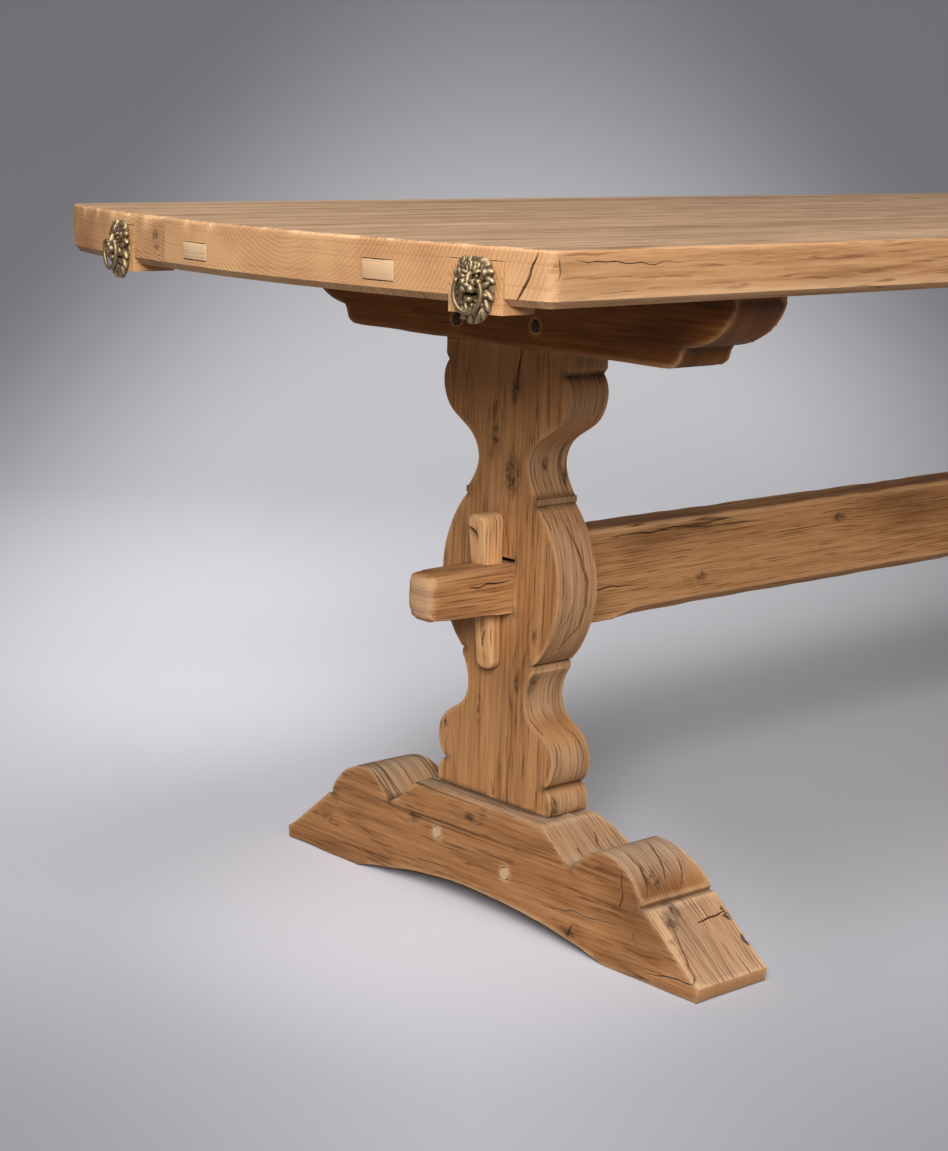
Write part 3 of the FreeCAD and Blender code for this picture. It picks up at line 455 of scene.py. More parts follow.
post_splits = (
    (((0.743, 0.023, 0.629), (0.743, 0.021, 0.607), (0.743, 0.019, 0.588)), 0.0028, 0.010),
    (((0.720, 0.065, 0.454), (0.710, 0.080, 0.430), (0.705, 0.088, 0.409), (0.700, 0.093, 0.384),
      (0.701, 0.093, 0.360), (0.703, 0.087, 0.336), (0.721, 0.075, 0.310), (0.735, 0.068, 0.301)),
     0.0038, 0.014),
    (((0.734, 0.091, 0.398), (0.735, 0.094, 0.381), (0.737, 0.094, 0.366)), 0.0016, 0.006),
    (((0.721, 0.093, 0.362), (0.723, 0.090, 0.347), (0.731, 0.084, 0.329)), 0.0018, 0.006),
    (((0.740, 0.059, 0.461), (0.738, 0.068, 0.450), (0.738, 0.073, 0.442)), 0.0016, 0.005),
    (((0.743, 0.075, 0.428), (0.743, 0.076, 0.411)), 0.0016, 0.005),
    (((0.742, 0.052, 0.233), (0.739, 0.061, 0.224), (0.738, 0.073, 0.217)), 0.0024, 0.006),
    (((0.711, 0.051, 0.234), (0.698, 0.078, 0.214), (0.695, 0.091, 0.196), (0.696, 0.092, 0.174),
      (0.695, 0.082, 0.160)), 0.0020, 0.006),
    (((0.733, 0.090, 0.200), (0.737, 0.093, 0.178), (0.737, 0.086, 0.163)), 0.0020, 0.006),
    (((0.737, 0.088, 0.152), (0.733, 0.093, 0.138)), 0.0018, 0.005),
    (((0.743, -0.003, 0.146), (0.743, -0.002, 0.130)), 0.0018, 0.005),
)
for end in ("a", "b"):
    post = worn_timber("post_worn_" + end, "post_" + end, UPRIGHT, ease=0.0032, cell=0.010, hollow=0.0008,
                       dent=0.0016)
    split_along(post, turned_for(end, post_splits))
    shade_values = post.data.attributes["painted_shade"].data
    for vert in post.data.vertices:
        # Painted shade round the bottom of the post, where it stands on the foot.
        if vert.co.z < POST_FOOT_LINE:
            shade_values[vert.index].value = 1.0
    post.data.materials.append(post_oak)
    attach(post, "table")
    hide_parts("post_" + end)

# Bearers: a beam across the top of each post, tapered at its ends in a hollow and a round.
# It lies in the shade of the top, and its oak is painted much darker than the post's: partly its own deeper
# tone, partly painted shade.
BEARER_SHADED_DARK = (0.056, 0.017, 0.002)
BEARER_SHADED_MID = (0.195, 0.062, 0.007)
BEARER_SHADED_LIGHT = (0.340, 0.125, 0.020)
bearer_shaded_oak = oak("bearer_shaded_oak", ACROSS_TABLE, heart=(1.10, 0.65), pitch=0.0050, dark=BEARER_SHADED_DARK,
                 mid=BEARER_SHADED_MID, light=BEARER_SHADED_LIGHT, pale=POST_PALE_ARRIS,
                 knots=((-0.751, 0.018, 0.668, 0.006),))
for end in ("a", "b"):
    bearer = worn_timber("bearer_worn_" + end, "bearer_" + end, ACROSS_TABLE, ease=0.0035, cell=0.012,
                         hollow=0.0008, dent=0.0016)
    bearer.data.materials.append(bearer_shaded_oak)
    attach(bearer, "table")
    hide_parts("bearer_" + end)

# Pegs: round oak pins driven through the foot and bearer tenons and cut off flush.
# They are newer and paler than the beams, apart from the ones in the bearers, which are painted near black as
# shade.
PEG_GRAIN_DARK = (0.330, 0.172, 0.078)
PEG_GRAIN_MID = (0.540, 0.335, 0.185)
PEG_GRAIN_LIGHT = (0.650, 0.440, 0.265)
# Near-black tones of painted shade for the pegs in the bearers.
SHADED_PEG_DARK = (0.012, 0.006, 0.003)
SHADED_PEG_MID = (0.030, 0.015, 0.007)
SHADED_PEG_LIGHT = (0.055, 0.028, 0.013)
peg_oak = oak("peg_oak", ALONG_TABLE, heart=(0.02, 0.02), pitch=0.0022, dark=PEG_GRAIN_DARK,
              mid=PEG_GRAIN_MID, light=PEG_GRAIN_LIGHT, pale=PEG_GRAIN_LIGHT)
shaded_peg_oak = oak("painted_shade_peg_oak", ALONG_TABLE, heart=(0.02, 0.02), pitch=0.0022, dark=SHADED_PEG_DARK,
                  mid=SHADED_PEG_MID, light=SHADED_PEG_LIGHT, pale=SHADED_PEG_LIGHT)
for node, timber in (("foot_pegs", peg_oak), ("bearer_pegs", shaded_peg_oak)):
    pegs = worn_timber(node + "_worn", node, ALONG_TABLE, ease=0.0012, cell=0.03, hollow=0.0002, dent=0.0004)
    pegs.data.materials.append(timber)
    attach(pegs, "table")
    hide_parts(node)

# Stretcher: a long chamfered oak beam between the trestles, with a tenon through each post.
# The tenon tips were cut by hand and have worn round.
TENON_END_DRIED = (0.660, 0.405, 0.232)
TENON_WEAR_START, TENON_WEAR_RUN = 0.765, 0.080
TENON_HALF_WIDTH, TENON_HALF_HEIGHT = 0.0226, 0.0267
TENON_MIDDLE = 0.370
stretcher_knots = ((-0.445, -0.025, 0.350, 0.006), (-0.20, -0.025, 0.395, 0.007),
                   (0.30, -0.025, 0.360, 0.008))
stretcher_oak = oak("stretcher_oak", ALONG_TABLE, heart=(0.03, 0.80), pitch=0.0036, dark=POST_GRAIN_DARK,
                    mid=POST_GRAIN_MID, light=POST_GRAIN_LIGHT, pale=POST_PALE_ARRIS, knots=stretcher_knots,
                    bleach=(1.0, 0.0, 0.0), bleach_tone=TENON_END_DRIED)
stretcher = worn_timber("stretcher_worn", "stretcher", ALONG_TABLE, ease=0.0040, cell=0.016, hollow=0.0010,
                        dent=0.0022)
tenon_tips = bmesh.new()
tenon_tips.from_mesh(stretcher.data)
for vert in tenon_tips.verts:
    worn_away = min(1.0, max(0.0, (abs(vert.co.x) - TENON_WEAR_START) / TENON_WEAR_RUN))
    if worn_away > 0:
        side, rise = vert.co.y / TENON_HALF_WIDTH, (vert.co.z - TENON_MIDDLE) / TENON_HALF_HEIGHT
        square = max(abs(side), abs(rise))
        rounder = 12.0 - 7.0 * worn_away
        round_off = square / max(1e-6, (abs(side) ** rounder + abs(rise) ** rounder) ** (1.0 / rounder))
        vert.co.y *= round_off
        vert.co.z = TENON_MIDDLE + (vert.co.z - TENON_MIDDLE) * round_off
tenon_tips.to_mesh(stretcher.data)
tenon_tips.free()
stretcher_splits = (
    (((-0.746, -0.023, 0.380), (-0.766, -0.023, 0.379), (-0.790, -0.023, 0.378), (-0.806, -0.023, 0.377)),
     0.0020, 0.006),
    (((-0.684, -0.025, 0.357), (-0.650, -0.025, 0.356), (-0.612, -0.025, 0.355), (-0.548, -0.025, 0.352)),
     0.0018, 0.006),
    (((-0.600, -0.025, 0.413), (-0.520, -0.025, 0.411), (-0.430, -0.025, 0.413)), 0.0016, 0.005),
)
split_along(stretcher, stretcher_splits)
stretcher.data.materials.append(stretcher_oak)
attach(stretcher, "table")
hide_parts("stretcher")

# Tusk keys: tapered oak wedges driven down through the tenons, which draw the posts on to the stretcher.
# Hammering has rounded their heads.
KEY_GRAIN_MID = (0.660, 0.330, 0.130)
KEY_GRAIN_LIGHT = (0.830, 0.510, 0.250)
key_oak = oak("key_oak", UPRIGHT, heart=(0.02, 1.05), pitch=0.0050, dark=POST_GRAIN_DARK, mid=KEY_GRAIN_MID,
              light=KEY_GRAIN_LIGHT, pale=POST_PALE_ARRIS,
              knots=((-0.766, 0.004, 0.330, 0.005), (0.766, -0.004, 0.330, 0.005)))
key_chops = (
    (((0.774, -0.019, 0.436), (0.774, -0.012, 0.432), (0.773, -0.004, 0.425)), 0.0070, 0.006),
    (((0.762, -0.001, 0.323), (0.761, -0.003, 0.313), (0.760, -0.005, 0.303)), 0.0024, 0.005),
)
for end in ("a", "b"):
    key = worn_timber("tusk_key_worn_" + end, "tusk_key_" + end, UPRIGHT, ease=0.0036, cell=0.008,
                      hollow=0.0005, dent=0.0018)
    split_along(key, turned_for(end, key_chops))
    key.data.materials.append(key_oak)
    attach(key, "tusk_key_" + end)
    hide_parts("tusk_key_" + end)

# Top: three thick oak boards edge to edge, with bowed ends and softened edges.
# The upper face is scrubbed and greyed, while the end grain shows the rings of one broad tree.
TOP_GRAIN_DARK = (0.200, 0.088, 0.034)
TOP_GRAIN_MID = (0.430, 0.212, 0.090)
TOP_GRAIN_LIGHT = (0.610, 0.350, 0.170)
TOP_PALE_ARRIS = (0.690, 0.430, 0.235)
TOP_SCRUBBED = (0.355, 0.241, 0.152)
TOP_HALF_WIDTH = 0.381
TOP_UPPER_FACE = 0.765
TOP_UNDERSIDE = 0.713
BOW_RADIUS = 1.2804
BOW_CENTRE = 1.1 - BOW_RADIUS
JOINT_PLACE = 0.127
TOP_CORNER_WEAR = 0.009
ON_A_LINE = 1e-4
board_hearts = {"top_board_1": (-0.075, 0.845), "top_board_2": (-0.075, 0.845), "top_board_3": (0.10, 1.02)}
board_knots = {"top_board_3": ((-1.091, 0.147, 0.745, 0.0068), (-1.092, 0.145, 0.737, 0.0068))}
board_splits = {
    "top_board_1": (
        (((-1.046, -0.366, 0.762), (-1.048, -0.362, 0.751), (-1.049, -0.359, 0.743), (-1.050, -0.355, 0.732),
          (-1.051, -0.349, 0.723), (-1.051, -0.345, 0.716)), 0.0024, 0.010),
        (((-1.034, -0.381, 0.755), (-1.034, -0.381, 0.738)), 0.0016, 0.005),
        (((-1.020, -0.381, 0.755), (-0.998, -0.381, 0.754), (-0.936, -0.381, 0.751), (-0.850, -0.381, 0.750)),
         0.0008, 0.002),
    ),
    "top_board_3": (
        (((-1.091, 0.147, 0.748), (-1.092, 0.145, 0.739), (-1.092, 0.143, 0.730)), 0.0020, 0.005),
        (((-1.092, 0.142, 0.732), (-1.092, 0.140, 0.718)), 0.0016, 0.005),
        (((-1.086, 0.191, 0.729), (-1.086, 0.192, 0.716)), 0.0016, 0.005),
    ),
}


def corner_of_the_top(edge):
    """The four upright corner edges, which are worn the roundest."""
    heights = [vert.co.z for vert in edge.verts]
    upright = max(heights) - min(heights) > 0.03
    return upright and all(abs(vert.co.y) > TOP_HALF_WIDTH - ON_A_LINE for vert in edge.verts)


def on_a_joint(spot):
    """Whether a place lies on a joint between two boards, which wear leaves closed."""
    return abs(abs(spot.y) - JOINT_PLACE) < ON_A_LINE


def inside_the_outline(edge):
    """Only the outline of the top is worn round: edges of joints, notches, grooves and pockets stay sharp."""
    rim, corner, band = 0.0045, 0.02, 0.006
    levels = [vert.co.z for vert in edge.verts]
    for vert in edge.verts:
        bowed = math.hypot(abs(vert.co.x) - BOW_CENTRE, vert.co.y) > BOW_RADIUS - rim
        if not bowed and abs(vert.co.y) < TOP_HALF_WIDTH - rim:
            return True
    if all(on_a_joint(vert.co) for vert in edge.verts):
        return True
    upright = all(abs(vert.co.y) > TOP_HALF_WIDTH - corner for vert in edge.verts)
    return not upright and min(levels) < TOP_UPPER_FACE - band and max(levels) > TOP_UNDERSIDE + band


for node, heart in board_hearts.items():
    board = worn_timber(node + "_worn", node, ALONG_TABLE, ease=0.0030, cell=0.024, hollow=0.0009,
                        dent=0.0014, kept_sharp=inside_the_outline, still=on_a_joint,
                        blunted=corner_of_the_top, blunt=TOP_CORNER_WEAR)
    if node in board_splits:
        split_along(board, board_splits[node])
    board_oak = oak(node + "_oak", ALONG_TABLE, heart, pitch=0.0042, dark=TOP_GRAIN_DARK, mid=TOP_GRAIN_MID,
                    light=TOP_GRAIN_LIGHT, pale=TOP_PALE_ARRIS, knots=board_knots.get(node, ()),
                    bleach=(0.0, 0.0, 1.0), bleach_tone=TOP_SCRUBBED, rings=0.10, waver=0.03, stripes=0.26)
    board.data.materials.append(board_oak)
    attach(board, "table")
    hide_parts(node)

# Tongues: loose oak strips glued into grooves along the joints of the boards, which they keep level.
# They are out of sight, and of the same pale oak as the pegs.
tongue_oak = oak("tongue_oak", ALONG_TABLE, heart=(0.0, 0.5), pitch=0.0030, dark=PEG_GRAIN_DARK,
                 mid=PEG_GRAIN_MID, light=PEG_GRAIN_LIGHT, pale=PEG_GRAIN_LIGHT)
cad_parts["board_tongues"].data.materials.clear()
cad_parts["board_tongues"].data.materials.append(tongue_oak)

# Plugs: square patches of paler oak let into the end grain of the top, glued and cut off flush.
# A fine dark line runs round each one, where the glue has gone.
plug_oak = oak("plug_oak", ALONG_TABLE, heart=(0.03, 0.70), pitch=0.0024, dark=PEG_GRAIN_DARK,
               mid=PEG_GRAIN_MID, light=PEG_GRAIN_LIGHT, pale=PEG_GRAIN_LIGHT)
plugs = worn_timber("end_plugs_worn", "end_plugs", ALONG_TABLE, ease=0.0010, cell=0.02, hollow=0.0003,
                    dent=0.0006)
plugs.data.materials.append(plug_oak)
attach(plugs, "table")
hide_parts("end_plugs")

# Top screws: steel screws driven up through sinks in the bearers, which hold the top down.
# Their heads have gone dull and stained under the table.
STEEL_STAINED = (0.10, 0.085, 0.07, 1.0)
STEEL_BARE = (0.42, 0.41, 0.40, 1.0)
steel = bpy.data.materials.new("dull_steel")
steel.use_nodes = True
steel_tree = steel.node_tree
steel_spot = shader_node(steel_tree, "ShaderNodeTexCoord", {}).outputs["Object"]
steel_grit = shader_node(steel_tree, "ShaderNodeTexNoise",
                         {"Vector": steel_spot, "Scale": 420.0, "Detail": 3.0}).outputs[0]
steel_tone = shader_node(steel_tree, "ShaderNodeValToRGB", {"Fac": steel_grit})
steel_tone.color_ramp.elements[0].color = STEEL_STAINED
steel_tone.color_ramp.elements[1].color = STEEL_BARE
steel_rough = shader_node(steel_tree, "ShaderNodeMapRange",
                          {"Value": steel_grit, "To Min": 0.35, "To Max": 0.65})
steel_shader = steel_tree.nodes["Principled BSDF"]
steel_shader.inputs["Metallic"].default_value = 1.0
steel_tree.links.new(steel_tone.outputs["Color"], steel_shader.inputs["Base Color"])
steel_tree.links.new(steel_rough.outputs[0], steel_shader.inputs["Roughness"])
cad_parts["top_screws"].data.materials.clear()
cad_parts["top_screws"].data.materials.append(steel)

# Lopers: oak bars that slide out of dovetail grooves under the ends of the top, to carry a leaf.
# Each has a square head in a notch of the end, and an oak stop peg that keeps it from coming out.
loper_oak = oak("loper_oak", ALONG_TABLE, heart=(0.15, 0.55), pitch=0.0036, dark=POST_GRAIN_DARK,
                mid=POST_GRAIN_MID, light=POST_GRAIN_LIGHT, pale=POST_PALE_ARRIS)
corners = [end + "_" + side for end in ("a", "b") for side in ("near", "far")]
for corner in corners:
    loper = worn_timber("loper_worn_" + corner, "loper_" + corner, ALONG_TABLE, ease=0.0007, cell=0.02,
                        hollow=0.0001, dent=0.0004)
    loper.data.materials.append(loper_oak)
    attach(loper, "loper_" + corner)
    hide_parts("loper_" + corner)
    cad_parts["loper_stop_" + corner].data.materials.clear()
    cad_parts["loper_stop_" + corner].data.materials.append(peg_oak)

# Lion masks: small brass castings with a shaggy mane, each pinned to the head of a loper.
# Handling has rubbed the brows, muzzle and locks bright, and the hollows have gone nearly black.
BRASS_RUBBED = (0.400, 0.305, 0.178)
BRASS_DULL = (0.165, 0.110, 0.054)
BRASS_HOLLOW = (0.016, 0.010, 0.005)
MASK_STAND_OFF = 0.0003
MASK_MIDDLE = 0.726
MASK_GRAIN = 0.0006
MASK_RUB = 0.0007


def old_brass(name):
    """Old cast brass: rubbed bright where it stands proud, dark in its hollows, a little pitted."""
    material = bpy.data.materials.new(name)
    material.use_nodes = True
    tree = material.node_tree
    spot = shader_node(tree, "ShaderNodeTexCoord", {}).outputs["Object"]
    pits = shader_node(tree, "ShaderNodeTexNoise", {"Vector": spot, "Scale": 420.0, "Detail": 4.0}).outputs[0]
    rub = shader_node(tree, "ShaderNodeAttribute", {}, attribute_name="rub").outputs["Fac"]
    uneven = shader_node(tree, "ShaderNodeMath", {0: pits, 1: 0.35, 2: rub},
                         operation="MULTIPLY_ADD").outputs[0]
    tone = shader_node(tree, "ShaderNodeValToRGB", {"Fac": uneven})
    stops = tone.color_ramp.elements
    stops[0].position, stops[0].color = 0.25, BRASS_HOLLOW + (1.0,)
    stops[1].position, stops[1].color = 1.0, BRASS_RUBBED + (1.0,)
    dull = stops.new(0.62)
    dull.color = BRASS_DULL + (1.0,)
    rough = shader_node(tree, "ShaderNodeMapRange",
                        {"Value": uneven, "From Min": 0.3, "To Min": 0.62, "To Max": 0.46})
    bump = shader_node(tree, "ShaderNodeBump", {"Height": pits, "Strength": 0.30, "Distance": 0.0006})
    shader = tree.nodes["Principled BSDF"]
    shader.inputs["Metallic"].default_value = 0.85
    tree.links.new(tone.outputs["Color"], shader.inputs["Base Color"])
    tree.links.new(rough.outputs[0], shader.inputs["Roughness"])
    tree.links.new(bump.outputs["Normal"], shader.inputs["Normal"])
    return material


def lump(casting, out, across, up, depth, width, height, tilt=0.0, lean=0.0):
    """A rounded lump of the casting, in millimetres from the middle of its back."""
    place = Matrix.Translation((out, across, up))
    place = place @ Matrix.Rotation(tilt, 4, "X") @ Matrix.Rotation(lean, 4, "Y")
    bmesh.ops.create_icosphere(casting, subdivisions=3, radius=1.0,
                               matrix=place @ Matrix.Diagonal((depth, width, height, 1.0)))


def lion_head():
    """The mask's face and mane, in metres, with its flat back upright and its face along the first axis."""
    back_plate = (0.0, 0.0, 0.0, 4.8, 20.2, 30.2)
    skull = (2.0, 0.0, 5.0, 7.0, 13.0, 17.0)
    outer_locks, inner_locks = 17, 12
    in_pairs = {
        "crown": (2.4, 8.6, 20.5, 4.4, 9.6, 9.0, 0.0), "brow": (8.6, 5.6, 15.8, 2.9, 5.0, 1.9, 0.32),
        "cheek": (7.3, 9.4, 0.0, 3.2, 3.4, 6.6, 0.25), "muzzle": (13.2, 3.7, 1.4, 4.6, 4.2, 3.7, -0.20),
        "cheekbone": (11.0, 5.6, 7.2, 4.6, 3.4, 3.4, 0.0), "ear": (6.0, 12.6, 15.5, 3.4, 3.2, 3.8, -0.5),
        "forelock": (7.0, 3.4, 17.6, 3.2, 2.2, 5.4, -0.28), "beard": (6.2, 4.6, -16.5, 3.6, 2.5, 7.0, -0.18),
        "beard_side": (5.0, 8.8, -20.0, 3.2, 2.5, 6.4, -0.34),
    }
    in_the_middle = {
        "bridge": (10.2, 0.0, 10.0, 5.0, 2.7, 7.4, 0.0, -0.42), "nose": (15.6, 0.0, 4.6, 2.4, 3.3, 2.2),
        "chin": (9.4, 0.0, -7.4, 4.6, 4.0, 3.4), "beard": (6.2, 0.0, -21.0, 3.6, 2.7, 8.6),
        "forelock": (7.6, 0.0, 20.0, 3.0, 2.2, 5.4),
    }
    hollows = {
        "left_eye": (-5.4, 12.6, 2.8, 1.7, 2.2), "right_eye": (5.4, 12.6, 2.8, 1.7, 2.2),
        "mouth": (0.0, -3.3, 5.4, 1.5, 4.0), "left_nostril": (-1.5, 3.9, 0.8, 0.7, 1.0),
        "right_nostril": (1.5, 3.9, 0.8, 0.7, 1.0), "lip": (0.0, 0.4, 0.6, 2.2, 1.0),
    }
    mane_middle, face_half_width, face_half_height = 0.002, 0.0125, 0.0165
    strands, strand_depth = 92, 0.0005
    casting = bmesh.new()
    lump(casting, *back_plate)
    lump(casting, *skull)
    for number in range(outer_locks):
        turn = 2 * math.pi * (number + 0.5) / outer_locks
        square = 0.60 if math.cos(turn) > 0 else 0.88
        across = math.copysign(15.4 * abs(math.sin(turn)) ** square, math.sin(turn))
        up = math.copysign(22.6 * abs(math.cos(turn)) ** square, math.cos(turn))
        lump(casting, 3.2, across, up, 3.9, 3.3, 8.2, -turn - 0.62, 0.10)
    for fringe in range(-3, 4):
        lump(casting, 6.6 - 0.12 * fringe ** 2, 3.3 * fringe, 20.5 - 0.2 * fringe ** 2, 2.4, 1.8, 5.2,
             -0.07 * fringe)
    for number in range(inner_locks):
        turn = 2 * math.pi * number / inner_locks
        lump(casting, 5.4, 11.8 * math.sin(turn), 4.0 + 16.0 * math.cos(turn), 3.2, 2.9, 7.4,
             -turn + 0.55, 0.10)
    for side in (-1, 1):
        for out, across, up, depth, width, height, tilt in in_pairs.values():
            lump(casting, out, side * across, up, depth, width, height, side * tilt)
    for form in in_the_middle.values():
        lump(casting, *form)
    bmesh.ops.scale(casting, vec=(0.001, 0.001, 0.001), verts=casting.verts)
    holder = make_piece("lion_rough", casting)
    rough = holder.data
    skin = holder.modifiers.new("skin", "REMESH")
    skin.mode = "VOXEL"
    skin.voxel_size = MASK_GRAIN
    whole = bpy.data.meshes.new_from_object(holder.evaluated_get(bpy.context.evaluated_depsgraph_get()))
    bpy.data.objects.remove(holder)
    bpy.data.meshes.remove(rough)
    head = bmesh.new()
    head.from_mesh(whole)
    bpy.data.meshes.remove(whole)
    for vert in head.verts:
        for across, up, width, height, depth in hollows.values():
            near = math.hypot((vert.co.y * 1000 - across) / width, (vert.co.z * 1000 - up) / height)
            if vert.co.x > 0.004 and near < 2.0:
                vert.co.x -= 0.001 * depth * math.exp(-near * near)
        turn = math.atan2(vert.co.y, vert.co.z - mane_middle)
        shaggy = math.hypot(vert.co.y / face_half_width, (vert.co.z - mane_middle) / face_half_height) - 1.0
        if shaggy > 0 and vert.co.x > 0.0015:
            vert.co.x -= strand_depth * min(1.0, shaggy * 4) * (0.5 + 0.5 * math.sin(turn * strands))
    for side in (-1, 1):
        bmesh.ops.create_icosphere(head, subdivisions=3, radius=0.0017,
                                   matrix=Matrix.Translation((0.0072, side * 0.0054, 0.0126)))
    bmesh.ops.smooth_vert(head, verts=head.verts, factor=0.35, use_axis_x=True, use_axis_y=True,
                          use_axis_z=True)
    bmesh.ops.bisect_plane(head, geom=head.verts[:] + head.edges[:] + head.faces[:], plane_co=(0.0, 0.0, 0.0),
                           plane_no=(1.0, 0.0, 0.0), dist=1e-6, clear_inner=True)
    rim = [edge for edge in head.edges if edge.is_boundary]
    bmesh.ops.holes_fill(head, edges=rim, sides=0)
    bmesh.ops.recalc_face_normals(head, faces=head.faces)
    return head


def mark_rubbed(metal, reach):
    """Notes how far each point stands proud of the metal round it, for the rubbed and the dark places."""
    rub = metal.verts.layers.float.new("rub")
    metal.normal_update()
    before = [(vert.co.copy(), vert.normal.copy()) for vert in metal.verts]
    for step in range(9):
        bmesh.ops.smooth_vert(metal, verts=metal.verts, factor=0.5, use_axis_x=True, use_axis_y=True,
                              use_axis_z=True)
    for vert, (place, out) in zip(metal.verts, before):
        vert[rub] = min(1.0, max(0.0, 0.5 + (place - vert.co).dot(out) / reach))
        vert.co = place


brass = old_brass("old_brass")
mask_places = {"a_near": (-1, -0.306), "a_far": (-1, 0.222), "b_near": (1, -0.222), "b_far": (1, 0.306)}
for corner, (end_side, across) in mask_places.items():
    out = Vector((end_side * math.sqrt(1.0 - (across / BOW_RADIUS) ** 2), across / BOW_RADIUS, 0.0))
    turned = Matrix((out, Vector((-out.y, out.x, 0.0)), Vector((0.0, 0.0, 1.0)))).transposed().to_4x4()
    middle = Vector((end_side * BOW_CENTRE, 0.0, MASK_MIDDLE)) + out * (BOW_RADIUS + MASK_STAND_OFF)
    casting = lion_head()
    mark_rubbed(casting, MASK_RUB)
    bmesh.ops.transform(casting, matrix=Matrix.Translation(middle) @ turned, verts=casting.verts)
    cast = make_piece("lion_cast_" + corner, casting)
    cast.data.shade_smooth()
    cast.data.materials.append(brass)
    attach(cast, "loper_" + corner)
    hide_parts("lion_mask_" + corner)

# Pins and rings: two round-headed brass pins hold each mask, and an oval ring of brass wire swings from the
# sides of its muzzle. Both are rubbed bright where they stand proud.
for corner in mask_places:
    for name, node, body, proud in (("mask_pins_rubbed_", "mask_pins_", "loper_", 0.0003),
                                    ("ring_rubbed_", "ring_", "ring_", 0.0004)):
        metal = bmesh.new()
        metal.from_mesh(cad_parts[node + corner].data)
        bmesh.ops.remove_doubles(metal, verts=metal.verts, dist=1e-5)
        mark_rubbed(metal, proud)
        crease(metal)
        piece = make_piece(name + corner, metal)
        piece.data.materials.append(brass)
        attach(piece, body + corner)
        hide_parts(node + corner)

# Studio: a wide sheet of pale grey paper, laid out as the floor and swept up behind the table.
# A long oval of it under and behind the table is painted palest, and the paper is painted darker beyond it as
# falloff, with a painted pool of light round the near foot and painted shade in the two corners in front.
FLOOR_NEAR = (0.925, 0.915, 0.955, 1.0)
FLOOR_FAR = (0.320, 0.312, 0.336, 1.0)
FLOOR_BOUNCE = (0.20, 0.17, 0.14, 1.0)
OVAL_PLACE = (1.22, 2.10, 0.0)
OVAL_REACH = (3.75, 1.70, 90.0)
POOL_PLACE = (-0.732, 0.054, 0.0)
POOL_REACH = (0.55, 0.40, 90.0)
POOL_GAIN = 1.55
SHADE_PLACE = (-1.260, -0.547, 0.0)
SHADE_REACH = (0.55, 0.50, 90.0)
SHADE_ASIDE = 1.16
SHADE_TONE = 0.70
FLOOR_BEFORE, FLOOR_BEHIND = 9.0, 2.2
SWEEP_RADIUS, SWEEP_STEPS = 5.0, 24
SWEEP_HEIGHT, SWEEP_HALF_WIDTH = 8.0, 9.0
VIEW_YAW = math.radians(47.967)
ahead = Vector((math.cos(VIEW_YAW), math.sin(VIEW_YAW), 0.0))
aside = Vector((math.sin(VIEW_YAW), -math.cos(VIEW_YAW), 0.0))
sweep = bmesh.new()
profile = [ahead * -FLOOR_BEFORE, ahead * FLOOR_BEHIND]
for step in range(1, SWEEP_STEPS + 1):
    angle = math.pi / 2 * step / SWEEP_STEPS
    rise = Vector((0.0, 0.0, SWEEP_RADIUS - SWEEP_RADIUS * math.cos(angle)))
    profile.append(ahead * (FLOOR_BEHIND + SWEEP_RADIUS * math.sin(angle)) + rise)
profile.append(ahead * (FLOOR_BEHIND + SWEEP_RADIUS) + Vector((0.0, 0.0, SWEEP_HEIGHT)))
points = [sweep.verts.new(spot - aside * SWEEP_HALF_WIDTH) for spot in profile]
lines = [sweep.edges.new(pair) for pair in zip(points, points[1:])]
drawn = bmesh.ops.extrude_edge_only(sweep, edges=lines)["geom"]
far_side = [part for part in drawn if isinstance(part, bmesh.types.BMVert)]
bmesh.ops.translate(sweep, verts=far_side, vec=aside * (2 * SWEEP_HALF_WIDTH))
bmesh.ops.recalc_face_normals(sweep, faces=sweep.faces)
studio_sweep = make_piece("studio_sweep", sweep)
studio_sweep.data.shade_smooth()
paper = bpy.data.materials.new("studio_paper")
paper.use_nodes = True
paper_tree = paper.node_tree
paper_spot = shader_node(paper_tree, "ShaderNodeTexCoord", {}).outputs["Object"]


def fading(place, reach, apart, inner, outer, tone):
    """A soft oval on the paper, or a mirrored pair of them, from a tone in its middle to 1 beyond it."""
    spot = shader_node(paper_tree, "ShaderNodeMapping",
                       {"Vector": paper_spot, "Location": place, "Rotation": (0.0, 0.0, VIEW_YAW),
                        "Scale": reach}, vector_type="TEXTURE").outputs[0]
    mirrored = shader_node(paper_tree, "ShaderNodeVectorMath", {0: spot}, operation="ABSOLUTE").outputs[0]
    away = shader_node(paper_tree, "ShaderNodeVectorMath", {0: mirrored, 1: (0.0, apart, 0.0)},
                       operation="DISTANCE").outputs["Value"]
    return shader_node(paper_tree, "ShaderNodeMapRange",
                       {"Value": away, "From Min": inner, "From Max": outer, "To Min": tone},
                       interpolation_type="SMOOTHSTEP").outputs[0]


# Painted falloff: the paper takes the darker far tone away from the oval under and behind the table.
painted_falloff = fading(OVAL_PLACE, OVAL_REACH, 0.0, 0.36, 1.0, 0.0)
# A painted pool of light round the near foot, up to POOL_GAIN times brighter.
pool = fading(POOL_PLACE, POOL_REACH, 0.0, 0.15, 1.10, POOL_GAIN)
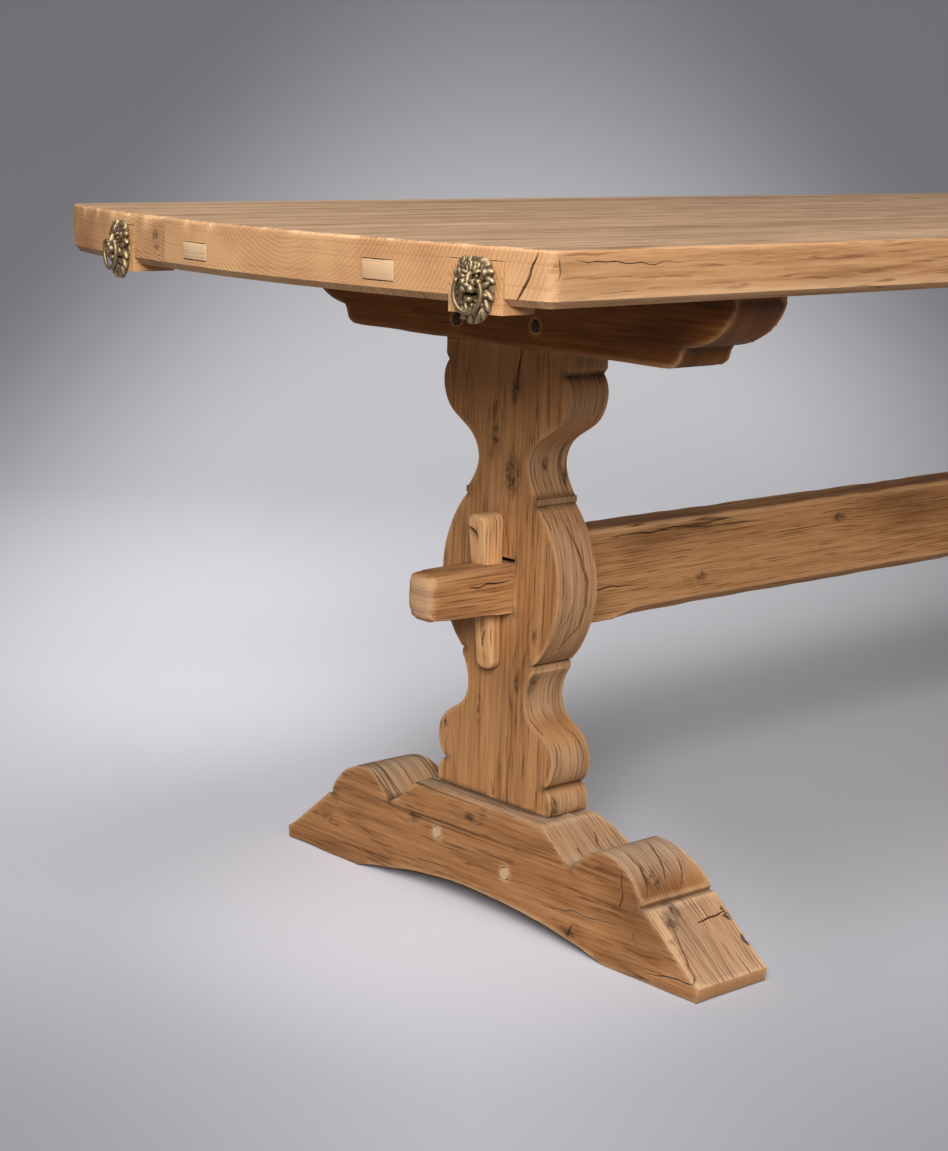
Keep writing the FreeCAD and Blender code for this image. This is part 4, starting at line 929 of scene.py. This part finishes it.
# Painted shade in the two front corners, down to SHADE_TONE.
shade = fading(SHADE_PLACE, SHADE_REACH, SHADE_ASIDE, 0.20, 1.40, SHADE_TONE)
paper_tone = shader_node(paper_tree, "ShaderNodeMix", {0: painted_falloff, 6: FLOOR_NEAR, 7: FLOOR_FAR},
                         data_type="RGBA").outputs[2]
painted_light_and_shade = shader_node(paper_tree, "ShaderNodeMath", {0: pool, 1: shade}, operation="MULTIPLY").outputs[0]
painted_paper = shader_node(paper_tree, "ShaderNodeVectorMath", {0: paper_tone, "Scale": painted_light_and_shade},
                        operation="SCALE").outputs[0]
# Camera, glossy and transmission rays see the painted tones; other rays see the dim FLOOR_BOUNCE colour,
# which sets the light the paper throws back.
rays = shader_node(paper_tree, "ShaderNodeLightPath", {}).outputs
seen = shader_node(paper_tree, "ShaderNodeMath", {0: rays["Is Camera Ray"], 1: rays["Is Glossy Ray"]},
                   operation="ADD").outputs[0]
shown = shader_node(paper_tree, "ShaderNodeMath", {0: seen, 1: rays["Is Transmission Ray"]},
                    operation="ADD", use_clamp=True).outputs[0]
paper_face = shader_node(paper_tree, "ShaderNodeMix", {0: shown, 6: FLOOR_BOUNCE, 7: painted_paper},
                         data_type="RGBA").outputs[2]
paper_shader = paper_tree.nodes["Principled BSDF"]
paper_shader.inputs["Roughness"].default_value = 0.95
paper_shader.inputs["Specular IOR Level"].default_value = 0.05
paper_tree.links.new(paper_face, paper_shader.inputs["Base Color"])
studio_sweep.data.materials.append(paper)

# Light: one large soft lamp off the near corner and a weaker one over the table.
# A dim, slightly blue room fills the shadows.
ROOM_TONE = (0.92, 0.93, 1.0, 1.0)
ROOM_STRENGTH = 0.06
for name, place, aim, size, power in (
        ("key_lamp", (-5.9, -5.5, 4.3), (-0.6, 0.0, 0.45), 3.4, 820.0),
        ("over_lamp", (-1.6, -0.6, 3.5), (-0.5, 0.3, 0.2), 2.6, 125.0)):
    lamp = bpy.data.lights.new(name, "AREA")
    lamp.shape = "SQUARE"
    lamp.size = size
    lamp.energy = power
    holder = bpy.data.objects.new(name, lamp)
    holder.location = place
    holder.rotation_euler = (Vector(aim) - Vector(place)).to_track_quat("-Z", "Y").to_euler()
    bpy.context.scene.collection.objects.link(holder)
room = bpy.data.worlds.new("room")
room.use_nodes = True
room.node_tree.nodes["Background"].inputs["Color"].default_value = ROOM_TONE
room.node_tree.nodes["Background"].inputs["Strength"].default_value = ROOM_STRENGTH
bpy.context.scene.world = room
bpy.context.scene.view_settings.view_transform = "Standard"

# Camera: about 0.9 m up off the near corner, aimed a little downwards, with everything sharp.
# Its long lens frames one trestle and that end of the top.
VIEW_PLACE = Vector((-2.434791, -1.835884, 0.894789))
VIEW_PITCH = math.radians(-11.649)
VIEW_ROLL = math.radians(1.617)
PHOTO_HEIGHT = 1151
FOCAL_PIXELS = 2343.897
camera = bpy.data.cameras.new("camera")
camera.sensor_fit = "AUTO"
camera.sensor_width = 36.0
camera.lens = FOCAL_PIXELS / PHOTO_HEIGHT * camera.sensor_width
camera.dof.use_dof = False
forward = Vector((math.cos(VIEW_YAW) * math.cos(VIEW_PITCH), math.sin(VIEW_YAW) * math.cos(VIEW_PITCH),
                  math.sin(VIEW_PITCH)))
level = aside.cross(forward)
right = aside * math.cos(VIEW_ROLL) + level * math.sin(VIEW_ROLL)
above = level * math.cos(VIEW_ROLL) - aside * math.sin(VIEW_ROLL)
viewer = bpy.data.objects.new("camera", camera)
turned = viewer.matrix_world.to_3x3()
turned.col[0], turned.col[1], turned.col[2] = right, above, -forward
viewer.matrix_world = turned.to_4x4()
viewer.location = VIEW_PLACE
bpy.context.scene.collection.objects.link(viewer)
bpy.context.scene.camera = viewer

bpy.context.view_layer.update()
